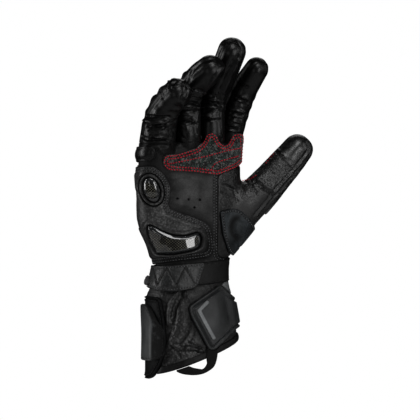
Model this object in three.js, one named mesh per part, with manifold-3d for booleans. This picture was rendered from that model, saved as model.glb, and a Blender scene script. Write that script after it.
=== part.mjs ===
// A motorcycle racing glove for the right hand, in millimetres.
// +Z runs up the hand from the cuff's mouth, the palm faces -Y and the thumb points to +X.
// The origin is the centre of the cuff's mouth, where the hand goes in.
import * as THREE from "three";
import { mergeVertices } from "three/addons/utils/BufferGeometryUtils.js";
import Module from "manifold-3d";

const wasm = await Module();
wasm.setup();

// Driving dimensions
const WALL = 2.2; // leather and lining of the shell
const GAP = 0.3; // between two pieces that touch
const LAYER = 1.6; // one sewn-on layer of leather
const PAD = 3; // a padded layer
const RIM = 1.4; // the raised welt round a slider
const SLIDER = 5.2; // how far the hard sliders stand off the leather
const STRAP = 2.4;
const GUARD = 5; // the moulded guard on the cuff's outer edge
const FLAP = 4.4; // the closing flap's raised panel
const FLAP_EDGE = 3; // its rim
const FLAP_BACK_Y = 18; // how far round to the back it reaches
const OVERLAP_HANG = 4; // the cuff's outer panel hangs below the hem
const HEM_HEIGHT = 6;
const HEM_THICKNESS = 1.3;
const SQUARENESS = 2.3; // exponent of the sections: 2 is an ellipse
const SIDE_VIEW_DEG = 27; // the outlines are drawn as seen from this far round to the little finger
const HEM_Z = 2; // the hem's height on the middle line; the outer panel's is as far below the origin
const HEM_SLOPE = 0.37; // the cuff is longer on the little finger's side
const STRAP_LOW = 66; // the strap's edges on the middle line
const STRAP_HIGH = 85;
const WRIST_SEAM_Z = 75; // where the cuff is sewn to the hand, under the strap
const STRAP_SLOPE_DEG = 5;
const FINGER_SEAM_Z = 190; // where the finger tubes are sewn on
const SIDE_GUARD_Y = 5; // the outer guard starts here, behind the heel pad
const SIDE_SEAM_Y = 2; // where palm and back meet along the sides
const CORNER_STEPS = 1; // how many facets round a corner of an outline, less one
const FINE = { hand_sides: 24, hand_steps: 14, finger_sides: 10, domes: 2 };
const COARSE = { hand_sides: 16, hand_steps: 14, finger_sides: 8, domes: 1 };

const table = (columns, ...data) =>
  data.map((row) => Object.fromEntries(columns.map((name, i) => [name, row[i]])));

// The hand and cuff, without fingers: a section at each height.
const HAND = table(
  ["z", "x", "y", "half_width", "palm", "back"],
  [-34, 2.4, 0, 40.8, 33, 33],
  [-8, 2.4, 0, 40.4, 33, 33],
  [22, 2, 0, 39.6, 32, 32],
  [50, -0.8, 0, 37.6, 30.5, 30.5],
  [66, -1, 0, 34, 26, 26],
  [80, 1, 0, 31.5, 24.5, 25],
  [93, 0.8, 0, 33.7, 24.5, 24.5],
  [105, 0.4, 0, 38, 24.5, 24],
  [120, 0.2, 0, 45.4, 25, 23],
  [140, 0.5, 0, 47, 25, 22],
  [157, -0.6, -1.5, 47.2, 23.5, 20],
  [170, -1.8, -4, 46.6, 21, 17],
  [180, -1.8, -8, 45.6, 17, 14],
  [187, -1.4, -11, 44, 13, 11],
  [190, -1.2, -12, 39, 9, 7],
);
const STATION = ["x", "y", "z", "half_width", "half_depth"];
const FINGERS = {
  index_finger: table(
    STATION,
    [36.2, -1, 158, 11, 12],
    [35.8, -5, 192, 10.6, 12],
    [39.4, -15, 222, 10.8, 12.2],
    [42.9, -26, 241, 10.6, 11.2],
    [45.9, -38.4, 254.4, 9.8, 10.2],
  ),
  middle_finger: table(
    STATION,
    [14.8, -2, 158, 11, 12],
    [14, -13, 192, 11.2, 12.2],
    [12.2, -19, 226, 11.6, 12.4],
    [14.9, -34, 248.6, 11.6, 12],
    [16.6, -48, 269, 11.8, 11.8],
  ),
  ring_finger: table(
    STATION,
    [-10.6, -3, 155, 11, 12],
    [-10.2, -15, 190, 11, 12],
    [-14.6, -24.4, 228, 11.4, 12.4],
    [-12.6, -37.6, 242.6, 11.6, 12.2],
    [-6.6, -53, 253, 12, 11.8],
  ),
  little_finger: table(
    STATION,
    [-35, -4, 150, 14, 14],
    [-38.8, -13, 184, 15.6, 15.2],
    [-39.8, -24.4, 212, 13.8, 13.6],
    [-38.4, -37.3, 225.4, 12.2, 12.2],
    [-36, -47.6, 232.4, 11.8, 11.8],
  ),
};
const THUMB = table(
  STATION,
  [19.4, -3, 103, 19.8, 19],
  [35, -6, 120, 19.4, 17.5],
  [51.4, -10, 136.6, 17.3, 15.4],
  [69.2, -14, 153.6, 16, 14],
  [85, -18, 171.3, 14.7, 13.4],
  [96.4, -21, 185, 13.2, 12.8],
);
const FINGER_SIDE = new THREE.Vector3(1, 0, 0);
const THUMB_SIDE = new THREE.Vector3(0.7, 0, -0.7);

// Where each finger's middle joint is, in mm along its centre line.
const KNUCKLES = { index_finger: 68, middle_finger: 76, ring_finger: 80, little_finger: 74 };
// The ribs on the back of that joint and the creases on its palm side: plus stands out.
const FOLDS = table(
  ["from_knuckle", "back", "palm"],
  [-23, 0, 0],
  [-18, 1.4, 0.2],
  [-13, -0.2, -0.7],
  [-8, 1.5, 0.4],
  [-3, -0.2, -0.8],
  [2.5, 1.5, 0.5],
  [8, -0.2, -0.7],
  [13, 1.3, 0.4],
  [19, 0, -0.6],
  [26, 0.3, 0.2],
);
// Gathers round the cuff below the strap: angle round from the thumb's side, height, half angle.
const GATHERS = table(
  ["angle_deg", "height", "half_angle_deg"],
  [-118, 2.2, 13],
  [-98, -1.6, 10],
  [-80, 2, 12],
  [-60, -1.6, 10],
  [70, 1.4, 14],
  [105, 1.4, 14],
);
const GATHER_Z = 44;
const GATHER_REACH = 26;

// Colours and finishes
const leather = (color, roughness) =>
  new THREE.MeshStandardMaterial({ color, roughness, metalness: 0 });
const BLACK_LEATHER = leather(0x1a1a1c, 0.42);
const PALM_LEATHER = leather(0x242426, 0.55);
const PAD_LEATHER = leather(0x1f1f22, 0.45);
const BLUE_GREY = leather(0x2b3038, 0.5);
const LIGHT_GREY = leather(0x7d8288, 0.6);
const WOVEN = leather(0x2c302d, 0.85);
const WEBBING = leather(0x1c1c1d, 0.9);
const CARBON = new THREE.MeshStandardMaterial({ color: 0x151515, roughness: 0.15, metalness: 0.1 });
const MOULDED = leather(0x303236, 0.5);

// The view that the outlines are drawn in: u to the right, v up, depth towards the eye.
const turn = THREE.MathUtils.degToRad(SIDE_VIEW_DEG);
const RIGHT = new THREE.Vector3(Math.cos(turn), -Math.sin(turn), 0);
const TOWARDS = new THREE.Vector3(-Math.sin(turn), -Math.cos(turn), 0);
const UP = new THREE.Vector3(0, 0, 1);

// A closed mesh as a solid that can be joined and cut.
function solid(geometry) {
  const bare = geometry.clone();
  bare.deleteAttribute("normal");
  bare.deleteAttribute("uv");
  const merged = mergeVertices(bare, 1e-4);
  const made = new wasm.Manifold(
    new wasm.Mesh({
      numProp: 3,
      vertProperties: merged.attributes.position.array,
      triVerts: new Uint32Array(merged.index.array),
    }),
  );
  return made;
}

function node(name, made, material) {
  const { vertProperties, numProp, triVerts } = made.getMesh();
  const at = new Float32Array((vertProperties.length / numProp) * 3);
  for (let i = 0; i < at.length / 3; i++)
    at.set(vertProperties.subarray(i * numProp, i * numProp + 3), i * 3);
  const geometry = new THREE.BufferGeometry()
    .setAttribute("position", new THREE.BufferAttribute(at, 3))
    .setIndex(new THREE.BufferAttribute(triVerts, 1));
  geometry.computeVertexNormals();
  const mesh = new THREE.Mesh(geometry, material);
  mesh.name = name;
  return mesh;
}

// A closed loft through rings of points that all run the same way round.
function loft(rings) {
  const sides = rings[0].length;
  const middle = (ring) =>
    ring.reduce((sum, p) => sum.add(p), new THREE.Vector3()).divideScalar(sides);
  const points = [...rings.flat(), middle(rings[0]), middle(rings.at(-1))];
  const first = points.length - 2;
  const index = [];
  for (let i = 0; i < sides; i++) {
    const j = (i + 1) % sides;
    for (let r = 0; r < rings.length - 1; r++) {
      const [a, b] = [r * sides, (r + 1) * sides];
      index.push(a + i, a + j, b + j, a + i, b + j, b + i);
    }
    const top = (rings.length - 1) * sides;
    index.push(first, j, i, first + 1, top + i, top + j);
  }
  return new THREE.BufferGeometry().setFromPoints(points).setIndex(index);
}

// A rounded rectangle's point at an angle, on half axes of 1.
function rounded(angle) {
  const pull = (value) => Math.sign(value) * Math.abs(value) ** (2 / SQUARENESS);
  return [pull(Math.cos(angle)), pull(Math.sin(angle))];
}

// The value of a column between the rows of a table, on a smooth curve through them.
function between(rows, column, t) {
  const i = Math.min(Math.floor(t), rows.length - 2);
  const value = (k) => rows[THREE.MathUtils.clamp(k, 0, rows.length - 1)][column];
  const [a, b, c, d] = [value(i - 1), value(i), value(i + 1), value(i + 2)];
  const s = t - i;
  const [out, into] = [(c - a) / 2, (d - b) / 2];
  return (
    b + s * (out + s * (3 * (c - b) - 2 * out - into + s * (2 * (b - c) + out + into)))
  );
}

const bump = (x) => (Math.abs(x) < 1 ? (1 - x * x) ** 2 : 0);

// How far the gathers lift the cuff at a height and an angle.
function gather(z, angle) {
  const degrees = THREE.MathUtils.radToDeg(angle);
  const strength = bump((z - GATHER_Z) / GATHER_REACH);
  return GATHERS.reduce((sum, fold) => {
    const off = ((degrees - fold.angle_deg + 540) % 360) - 180;
    return sum + strength * fold.height * bump(off / fold.half_angle_deg);
  }, 0);
}

// The hollow needs fewer facets than the outer surface.
const detail = (grow) => (grow < 0 ? COARSE : FINE);

// The hand and cuff, grown by an amount: minus makes the hollow.
function hand(grow) {
  const { hand_sides: sides, hand_steps: steps } = detail(grow);
  const rings = [];
  for (let k = 0; k <= steps; k++) {
    const t = (k / steps) * (HAND.length - 1);
    const at = Object.fromEntries(
      Object.keys(HAND[0]).map((column) => [column, between(HAND, column, t)]),
    );
    const lift = THREE.MathUtils.smoothstep(at.z, 150, 190) * grow;
    rings.push(
      Array.from({ length: sides }, (_, i) => {
        const angle = (i / sides) * 2 * Math.PI;
        const [c, s] = rounded(angle);
        const out = grow + gather(at.z, angle > Math.PI ? angle - 2 * Math.PI : angle);
        const depth = (s < 0 ? at.palm : at.back) + out;
        return new THREE.Vector3(at.x + c * (at.half_width + out), at.y + s * depth, at.z + lift);
      }),
    );
  }
  return solid(loft(rings));
}

// How far the folds lift a finger's back or palm side, at a distance from the middle joint.
function foldAt(side, from) {
  const k = FOLDS.findIndex((row) => row.from_knuckle > from);
  if (k < 1) return 0;
  const [a, b] = [FOLDS[k - 1], FOLDS[k]];
  const share = (from - a.from_knuckle) / (b.from_knuckle - a.from_knuckle);
  return THREE.MathUtils.lerp(a[side], b[side], share);
}

// A finger or the thumb as a closed tube with a round tip, grown by an amount.
function finger(rows, side, grow, knuckle) {
  const { finger_sides: sides, domes } = detail(grow);
  const spot = (t) => new THREE.Vector3(...["x", "y", "z"].map((axis) => between(rows, axis, t)));
  const last = rows.length - 1;
  const along = [0];
  for (let i = 0; i < last; i++) along.push(along[i] + spot(i).distanceTo(spot(i + 1)));
  const length = along[last];
  const row = (mm) => {
    const i = Math.min(along.findIndex((_, k) => mm <= along[k + 1] || k === last - 1), last - 1);
    return i + (mm - along[i]) / (along[i + 1] - along[i]);
  };
  const folded = knuckle ? FOLDS.map((fold) => knuckle + fold.from_knuckle) : [];
  const even = knuckle ? [0, 22, 40, length] : Array.from({ length: 9 }, (_, i) => (i / 8) * length);
  const stations = [...even, ...folded].filter((mm) => mm <= length).sort((a, b) => a - b);
  const kept = stations.filter((_, i) => grow >= 0 || i % 2 === 0 || i === stations.length - 1);

  const ring = (centre, heading, width, depth, mm) => {
    const across = side.clone().addScaledVector(heading, -side.dot(heading)).normalize();
    const outward = heading.clone().cross(across);
    return Array.from({ length: sides }, (_, i) => {
      const [c, s] = rounded((i / sides) * 2 * Math.PI);
      const fold = knuckle ? foldAt(s < 0 ? "palm" : "back", mm - knuckle) * Math.abs(s) : 0;
      return centre
        .clone()
        .addScaledVector(across, c * width)
        .addScaledVector(outward, s * (depth + fold));
    });
  };
  const heading = (t) => spot(Math.min(t + 0.05, last)).sub(spot(t - 0.05)).normalize();
  const rings = kept.map((mm) => {
    const t = row(mm);
    const size = ["half_width", "half_depth"].map((column) => between(rows, column, t) + grow);
    return ring(spot(t), heading(t), ...size, mm);
  });
  const tip = rows[last];
  const end = heading(last);
  const reach = tip.half_depth + grow;
  for (let k = 1; k <= domes; k++) {
    const angle = (k / (domes + 0.35)) * (Math.PI / 2);
    const shrink = Math.cos(angle) ** 0.85;
    const centre = spot(last).addScaledVector(end, reach * Math.sin(angle));
    rings.push(ring(centre, end, (tip.half_width + grow) * shrink, reach * shrink, length));
  }
  return solid(loft(rings));
}

const fingers = (grow) =>
  Object.entries(FINGERS).map(([name, rows]) => finger(rows, FINGER_SIDE, grow, KNUCKLES[name]));
const thumb = (grow) => finger(THUMB, THUMB_SIDE, grow, 0);

// The whole outer form, grown by an amount.
const forms = new Map();
function form(grow) {
  if (!forms.has(grow))
    forms.set(
      grow,
      [...fingers(grow), thumb(grow)].reduce((sum, part) => sum.add(part), hand(grow)),
    );
  return forms.get(grow);
}

function block(x, y, z, at) {
  const geometry = new THREE.BoxGeometry(x, y, z);
  return solid(geometry.applyMatrix4(at));
}
const FAR = 400;
const move = (x, y, z) => new THREE.Matrix4().makeTranslation(x, y, z);
const above = (z) => block(FAR, FAR, FAR, move(0, 0, z + FAR / 2));
const below = (z) => block(FAR, FAR, FAR, move(0, 0, z - FAR / 2));
const beyond = (y) => block(FAR, FAR, FAR, move(0, y + FAR / 2, 0));
const before = (y) => block(FAR, FAR, FAR, move(0, y - FAR / 2, 0));

// Everything above the slanting hem, raised by an amount.
const hemTilt = new THREE.Matrix4().makeRotationY(-Math.atan(HEM_SLOPE));
const aboveHem = (lift) =>
  block(FAR, FAR, FAR, move(0, 0, HEM_Z + lift).multiply(hemTilt).multiply(move(0, 0, FAR / 2)));
const strapSlab = (low, high) =>
  block(
    FAR,
    FAR,
    high - low,
    new THREE.Matrix4()
      .makeRotationY(-THREE.MathUtils.degToRad(STRAP_SLOPE_DEG))
      .multiply(move(0, 0, (low + high) / 2)),
  );

// An outline of u, v points, as a shape with its corners rounded by a radius.
function outline(points, radius = 3) {
  const at = points.map(([u, v]) => new THREE.Vector2(u, v));
  const shape = new THREE.Shape();
  at.forEach((corner, i) => {
    const [prior, next] = [at.at(i - 1), at[(i + 1) % at.length]];
    const step = (to) => {
      const way = to.clone().sub(corner);
      return corner.clone().add(way.setLength(Math.min(radius, way.length() * 0.45)));
    };
    const [enter, leave] = [step(prior), step(next)];
    if (i === 0) shape.moveTo(enter.x, enter.y);
    else shape.lineTo(enter.x, enter.y);
    shape.quadraticCurveTo(corner.x, corner.y, leave.x, leave.y);
  });
  shape.closePath();
  return shape;
}

// The same outline, moved out from its middle line by an amount.
function spread(points, by) {
  const at = points.map(([u, v]) => new THREE.Vector2(u, v));
  const turnsLeft = THREE.ShapeUtils.area(at) > 0 ? 1 : -1;
  return at.map((corner, i) => {
    const into = corner.clone().sub(at.at(i - 1)).normalize();
    const out = at[(i + 1) % at.length].clone().sub(corner).normalize();
    const normal = new THREE.Vector2(into.y + out.y, -into.x - out.x).normalize();
    const stretch = Math.max(0.5, normal.dot(new THREE.Vector2(into.y, -into.x)));
    return corner.addScaledVector(normal, (turnsLeft * by) / stretch).toArray();
  });
}

// A prism over a shape, along the direction of sight, from one depth to another.
function prism(shape, near = 120, far = -6) {
  const geometry = new THREE.ExtrudeGeometry(shape, {
    depth: near - far,
    bevelEnabled: false,
    curveSegments: CORNER_STEPS,
  });
  const placed = new THREE.Matrix4()
    .makeBasis(RIGHT, UP, TOWARDS)
    .multiply(move(0, 0, far));
  return solid(geometry.applyMatrix4(placed));
}

// A layer of the outer form inside a prism, from one height off the leather to another.
const layer = (cutter, from, to) => form(to).intersect(cutter).subtract(form(from));

// Two layers joined, the second inside a smaller prism and thicker.
const stepped = (cutter, to, inner, top, from = GAP) =>
  form(to).intersect(cutter).add(form(top).intersect(inner)).subtract(form(from));

// Outlines, as u and v in the side view.
const THUMB_REGION = [
  [25, 90], [25, 162], [45, 170], [60, 186], [90, 225], [150, 225], [150, 60], [60, 84],
];
const GRIP_PATCH = [
  [-22.5, 178], [-10.6, 179.5], [7, 185], [12, 190.5], [14.5, 197], [19, 199], [23.2, 197],
  [26, 190.5], [29.6, 187.4], [33.6, 188.6], [36, 194], [38.5, 197.8], [47.5, 198.4],
  [49, 176], [43, 169.4], [30.3, 163.8], [24.6, 161.7], [3.5, 164.4], [-19, 165.5], [-23, 170],
];
const HEEL_PAD = [
  [-60, 168.5], [-31.7, 169], [-21.8, 162.5], [-16.5, 152], [-17, 141.5], [-19.4, 133.5],
  [-10.6, 129.6], [7, 124], [15.5, 119.5], [20, 113], [21.8, 99.4], [20.5, 92.5], [15, 89.2],
  [-60, 80],
];
const HEEL_SLIDER = [
  [-36.6, 118.4], [-31.7, 117], [-24.6, 112.7], [-14.1, 108.9], [-3.5, 108.5], [7.7, 112],
  [10.8, 106.4], [9.2, 98.5], [3.5, 95.8], [-14.1, 92.3], [-29.6, 92.6], [-35.9, 104.3],
  [-38, 113.4],
];
const THUMB_PATCH = [
  [26.8, 130.3], [38.7, 132.6], [46, 130.3], [58, 117], [58, 96], [46, 84], [34.5, 93.4],
  [29.6, 107.8],
];
const SIDE_GUARD = [[-60, 170.5], [-42, 170.5], [-38, 150], [-38, 118], [-60, 116.5]];
const KNUCKLE_PAD = [
  [-60, 186], [-36, 186.6], [-30.5, 184], [-28.5, 178], [-32.5, 173], [-60, 172.5],
];
const STRAP_TAB = [
  [-60, 86], [-33, 83.6], [11.2, 86.4], [13.4, 84], [7.6, 65.6], [3.6, 62.8], [-14, 60.4],
  [-26.4, 61], [-60, 70],
];
const CUFF_OVERLAP = [
  [-60, 57], [-25.5, 55], [-22, 36], [-20.4, 14.9], [-24.6, -2.7], [-31.7, -15], [-60, -24],
];
const CUFF_GUARD = [
  [-60, 48.5], [-38, 48.5], [-29, 32], [-23.4, 27.5], [-22.8, 7], [-25, 2], [-34, -0.6],
  [-60, -0.6],
];
const FLAP_BASE = [[20, 60], [26.8, 63.9], [33, 71.5], [60, 71.5], [60, 40], [30, 40]];
const CUFF_FLAP = [
  [-1, 46.8], [3.6, 50.4], [14.1, 57.8], [26.5, 66.2], [39.5, 54.4], [60, 50], [60, 20],
  [43.6, 28.6], [22, 8.6], [17, 8.8], [1, 39],
];
const THUMB_GUARD = [
  [57, 136], [72, 154], [86, 174], [96, 182], [120, 178], [120, 150], [96, 112], [76, 118],
];
const STRAP_END = [[-60, 75], [-36.8, 74.6], [-35.2, 71], [-36.2, 65.4], [-60, 64]];
const FLAP_STRIPE = [
  [15, 52.4], [17, 50.4], [9.7, 43.4], [22.4, 19.2], [20, 18], [6.3, 43.8],
];
const PULL_LOOP = table(
  ["u", "v", "half_width"],
  [-15, 0, 5.5],
  [-7, -6, 5],
  [0, -8.8, 3.6],
  [7, -9.6, 2.7],
  [12.6, -8.8, 1.9],
  [17.7, -3.9, 3.2],
  [18.8, 2.4, 4.4],
  [19.4, 11, 4.6],
);
const LOOP_TUCK_U = 8; // left of here the webbing goes up inside the hem
const LOOP_THICKNESS = 1.6;

const DISC = { u: -33.2, v: 148.6, half_width: 7.2, half_height: 11.2, tilt_deg: 19 };
const DISC_FAR = 16; // the depth that its prisms start from
const DISC_SURFACE = 33.5; // the depth of its dome's top
const DISC_BULGE = 9;

// The side slider's outline, grown by an amount.
function ellipse(grow) {
  const shape = new THREE.Shape();
  shape.absellipse(
    DISC.u,
    DISC.v,
    DISC.half_width + grow,
    DISC.half_height + grow,
    0,
    2 * Math.PI,
    false,
    THREE.MathUtils.degToRad(DISC.tilt_deg),
  );
  return new THREE.Shape(shape.getPoints(6));
}

// The hard dome on the outer edge of the palm: an ellipsoid's cap on a low wall.
function sideSlider() {
  const seat = prism(ellipse(0), 120, DISC_FAR);
  const low = form(SLIDER - 1.4).intersect(seat);
  const dome = new THREE.SphereGeometry(1, 20, 14);
  dome.scale(DISC.half_width, DISC.half_height, DISC_BULGE);
  dome.applyMatrix4(
    new THREE.Matrix4()
      .makeBasis(RIGHT, UP, TOWARDS)
      .multiply(move(DISC.u, DISC.v, DISC_SURFACE - DISC_BULGE))
      .multiply(new THREE.Matrix4().makeRotationY(THREE.MathUtils.degToRad(-34)))
      .multiply(new THREE.Matrix4().makeRotationZ(THREE.MathUtils.degToRad(DISC.tilt_deg))),
  );
  return low.add(solid(dome).intersect(seat)).subtract(form(GAP));
}

// A flat band of webbing that hangs in a loop from the hem, its middle line in the table.
function pullLoop() {
  const edge = (sign) =>
    PULL_LOOP.map((row, i) => {
      const prior = PULL_LOOP[Math.max(0, i - 1)];
      const next = PULL_LOOP[Math.min(i + 1, PULL_LOOP.length - 1)];
      const along = new THREE.Vector2(next.u - prior.u, next.v - prior.v).normalize();
      const aside = sign * row.half_width;
      return new THREE.Vector2(row.u - along.y * aside, row.v + along.x * aside);
    });
  const shape = new THREE.Shape();
  const outer = edge(-1);
  shape.moveTo(outer[0].x, outer[0].y).splineThru(outer.slice(1));
  const inner = edge(1).reverse();
  shape.lineTo(inner[0].x, inner[0].y).splineThru(inner.slice(1));
  const from = HEM_THICKNESS + GAP;
  return layer(prism(new THREE.Shape(shape.getPoints(2)), 120, 0), from, from + LOOP_THICKNESS);
}

// Outlines of a piece's prism, kept to the palm's side of a plane.
const facing = (points, radius, y) => prism(outline(points, radius), 120, -120).intersect(before(y));
const through = (points, radius) => prism(outline(points, radius), 120, -120);

const inside = form(-WALL);
const shell = hand(0)
  .add(thumb(0))
  .add(fingers(0).reduce((sum, part) => sum.add(part)).intersect(below(FINGER_SEAM_Z - GAP / 2)))
  .subtract(inside)
  .intersect(aboveHem(0));
const aboveWrist = shell.intersect(above(WRIST_SEAM_Z + GAP / 2));
const body = aboveWrist.subtract(through(spread(THUMB_REGION, GAP), 4));

const strapBand = strapSlab(STRAP_LOW, STRAP_HIGH);
const strapRoom = strapSlab(STRAP_LOW - GAP, STRAP_HIGH + GAP);
const windows = facing(spread(HEEL_SLIDER, GAP), 3, 0).add(prism(ellipse(3.6), 120, DISC_FAR));
const sideGuard = through(SIDE_GUARD, 3).intersect(beyond(SIDE_GUARD_Y + GAP));
const sideGuardRoom = beyond(SIDE_GUARD_Y).intersect(above(SIDE_GUARD[3][1] - 2));
const heelArea = prism(outline(HEEL_PAD, 5), 120, -6).intersect(before(16));
const heelPad = stepped(heelArea, PAD, facing(spread(HEEL_SLIDER, 4), 4, 0), PAD + RIM)
  .subtract(windows)
  .subtract(sideGuardRoom)
  .subtract(strapRoom);

const flapRoom = facing(spread(CUFF_FLAP, GAP), 3, FLAP_BACK_Y + GAP);
const flap = stepped(
  facing(CUFF_FLAP, 3, FLAP_BACK_Y),
  FLAP_EDGE,
  facing(spread(CUFF_FLAP, -4), 3, FLAP_BACK_Y - 4),
  FLAP,
).subtract(strapRoom);
const flapBase = layer(facing(FLAP_BASE, 2, FLAP_BACK_Y), GAP, LAYER)
  .subtract(flapRoom)
  .subtract(strapRoom);
const overlapCutter = through(CUFF_OVERLAP, 4).add(beyond(FLAP_BACK_Y + 2 * GAP));
const overlap = layer(overlapCutter.intersect(aboveHem(-OVERLAP_HANG)), GAP, LAYER)
  .intersect(below(60))
  .subtract(strapRoom);
const guard = layer(facing(CUFF_GUARD, 4, 22), LAYER + GAP, GUARD);
const overlapRoom = through(spread(CUFF_OVERLAP, GAP), 4).add(beyond(FLAP_BACK_Y));
const hem = layer(aboveHem(0).subtract(aboveHem(HEM_HEIGHT)), GAP, HEM_THICKNESS)
  .subtract(overlapRoom)
  .subtract(flapRoom);

const leftPart = [[-60, -40], [LOOP_TUCK_U, -40], [LOOP_TUCK_U, 40], [-60, 40]];
const tuck = facing(leftPart, 0.5, 0).intersect(aboveHem(-GAP));

const strap = layer(strapBand, GAP, STRAP);
const endRoom = facing(spread(STRAP_END, GAP), 2, 16 + GAP);
const tab = layer(facing(STRAP_TAB, 3, 14), STRAP + GAP, STRAP + LAYER + GAP)
  .intersect(strapSlab(STRAP_LOW - 5, STRAP_HIGH))
  .subtract(endRoom);
const strapEnd = layer(facing(STRAP_END, 2, 16), STRAP + GAP, STRAP + 4);

const pieces = {
  palm: [body.intersect(before(SIDE_SEAM_Y - GAP / 2)), PALM_LEATHER],
  back: [body.intersect(beyond(SIDE_SEAM_Y + GAP / 2)), BLACK_LEATHER],
  thumb: [aboveWrist.intersect(through(THUMB_REGION, 4)), BLACK_LEATHER],
  cuff: [shell.intersect(below(WRIST_SEAM_Z - GAP / 2)), BLACK_LEATHER],
  grip_patch: [layer(facing(GRIP_PATCH, 3, -10.2), GAP, LAYER), WOVEN],
  heel_pad: [heelPad, PAD_LEATHER],
  heel_slider: [layer(facing(HEEL_SLIDER, 3, 0), GAP, SLIDER), CARBON],
  side_slider_ring: [
    layer(prism(ellipse(3.3), 120, DISC_FAR), GAP, PAD + RIM)
      .subtract(prism(ellipse(GAP), 120, DISC_FAR))
      .subtract(sideGuardRoom),
    PAD_LEATHER,
  ],
  side_slider: [sideSlider(), CARBON],
  side_guard: [layer(sideGuard, GAP, PAD + GAP), PAD_LEATHER],
  knuckle_pad: [layer(facing(KNUCKLE_PAD, 4, 9), GAP, LAYER + 1), PAD_LEATHER],
  thumb_patch: [layer(facing(THUMB_PATCH, 4, 8), GAP, LAYER + 1), BLUE_GREY],
  thumb_guard: [layer(through(THUMB_GUARD, 4).intersect(beyond(-14)), GAP, LAYER + 1), BLACK_LEATHER],
  wrist_strap: [strap, BLACK_LEATHER],
  strap_tab: [tab, BLACK_LEATHER],
  strap_end: [strapEnd, MOULDED],
  cuff_overlap: [overlap, BLACK_LEATHER],
  cuff_guard: [guard, BLUE_GREY],
  flap_base: [flapBase, LIGHT_GREY],
  cuff_flap: [flap, BLUE_GREY],
  flap_stripe: [layer(facing(FLAP_STRIPE, 0.6, 0), FLAP + GAP, FLAP + GAP + 0.6), LIGHT_GREY],
  hem_binding: [hem, BLACK_LEATHER],
  pull_loop: [pullLoop().subtract(flapRoom).subtract(overlapRoom).subtract(tuck), WEBBING],
};
for (const [name, rows] of Object.entries(FINGERS)) {
  const tube = finger(rows, FINGER_SIDE, 0, KNUCKLES[name]).subtract(inside);
  pieces[name] = [tube.intersect(above(FINGER_SEAM_Z + GAP / 2)), BLACK_LEATHER];
}

const glove = new THREE.Group();
for (const [name, [made, material]] of Object.entries(pieces)) glove.add(node(name, made, material));
export default glove;
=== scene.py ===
import math

import bpy
import numpy as np
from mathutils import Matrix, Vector

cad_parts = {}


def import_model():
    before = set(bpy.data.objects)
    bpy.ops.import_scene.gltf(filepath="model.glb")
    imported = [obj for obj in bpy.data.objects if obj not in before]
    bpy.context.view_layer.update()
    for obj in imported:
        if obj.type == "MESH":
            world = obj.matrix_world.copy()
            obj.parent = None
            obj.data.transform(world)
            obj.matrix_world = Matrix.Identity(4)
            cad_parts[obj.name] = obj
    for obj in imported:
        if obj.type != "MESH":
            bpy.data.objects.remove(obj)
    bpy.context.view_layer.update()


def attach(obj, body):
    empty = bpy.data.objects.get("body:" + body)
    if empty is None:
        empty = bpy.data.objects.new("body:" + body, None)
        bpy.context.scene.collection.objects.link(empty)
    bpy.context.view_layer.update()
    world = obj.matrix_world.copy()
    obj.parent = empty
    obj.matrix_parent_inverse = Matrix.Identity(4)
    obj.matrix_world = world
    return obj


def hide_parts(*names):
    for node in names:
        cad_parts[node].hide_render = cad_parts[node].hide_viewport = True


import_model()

MM = 0.001

# Driving sizes
VOXEL = 1.25  # spacing of the hand's points
FINGER_SPACING, FINGER_SIDES = ((1.05, 72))
FORM_SPACING, THUMB_SIDES, STUB_SIDES = 1.5, 64, 56
WALL = 2.0
SQUARENESS = 2.3  # 2 would be an ellipse
SIDE_VIEW_DEG = 27  # the outlines are drawn as seen from this far round to the little finger
GAP = 0.3  # between pieces laid side by side or one on another
SHARP_DEG, HARD_DEG, THREAD_DEG = 48, 60, 80  # edges sharper than this are shaded sharp

# Heights on the middle line
HEM_Z = 2
HEM_SLOPE = 0.37
STRAP_LOW, STRAP_HIGH, STRAP_SLOPE_DEG = 66, 85, 5
WRIST_SEAM_Z = 75
FINGER_SEAM_Z = 190
SIDE_SEAM_Y = 2
FLAP_BACK_Y = 18


def table(columns, *rows):
    return [dict(zip(columns.split(), row)) for row in rows]


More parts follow.
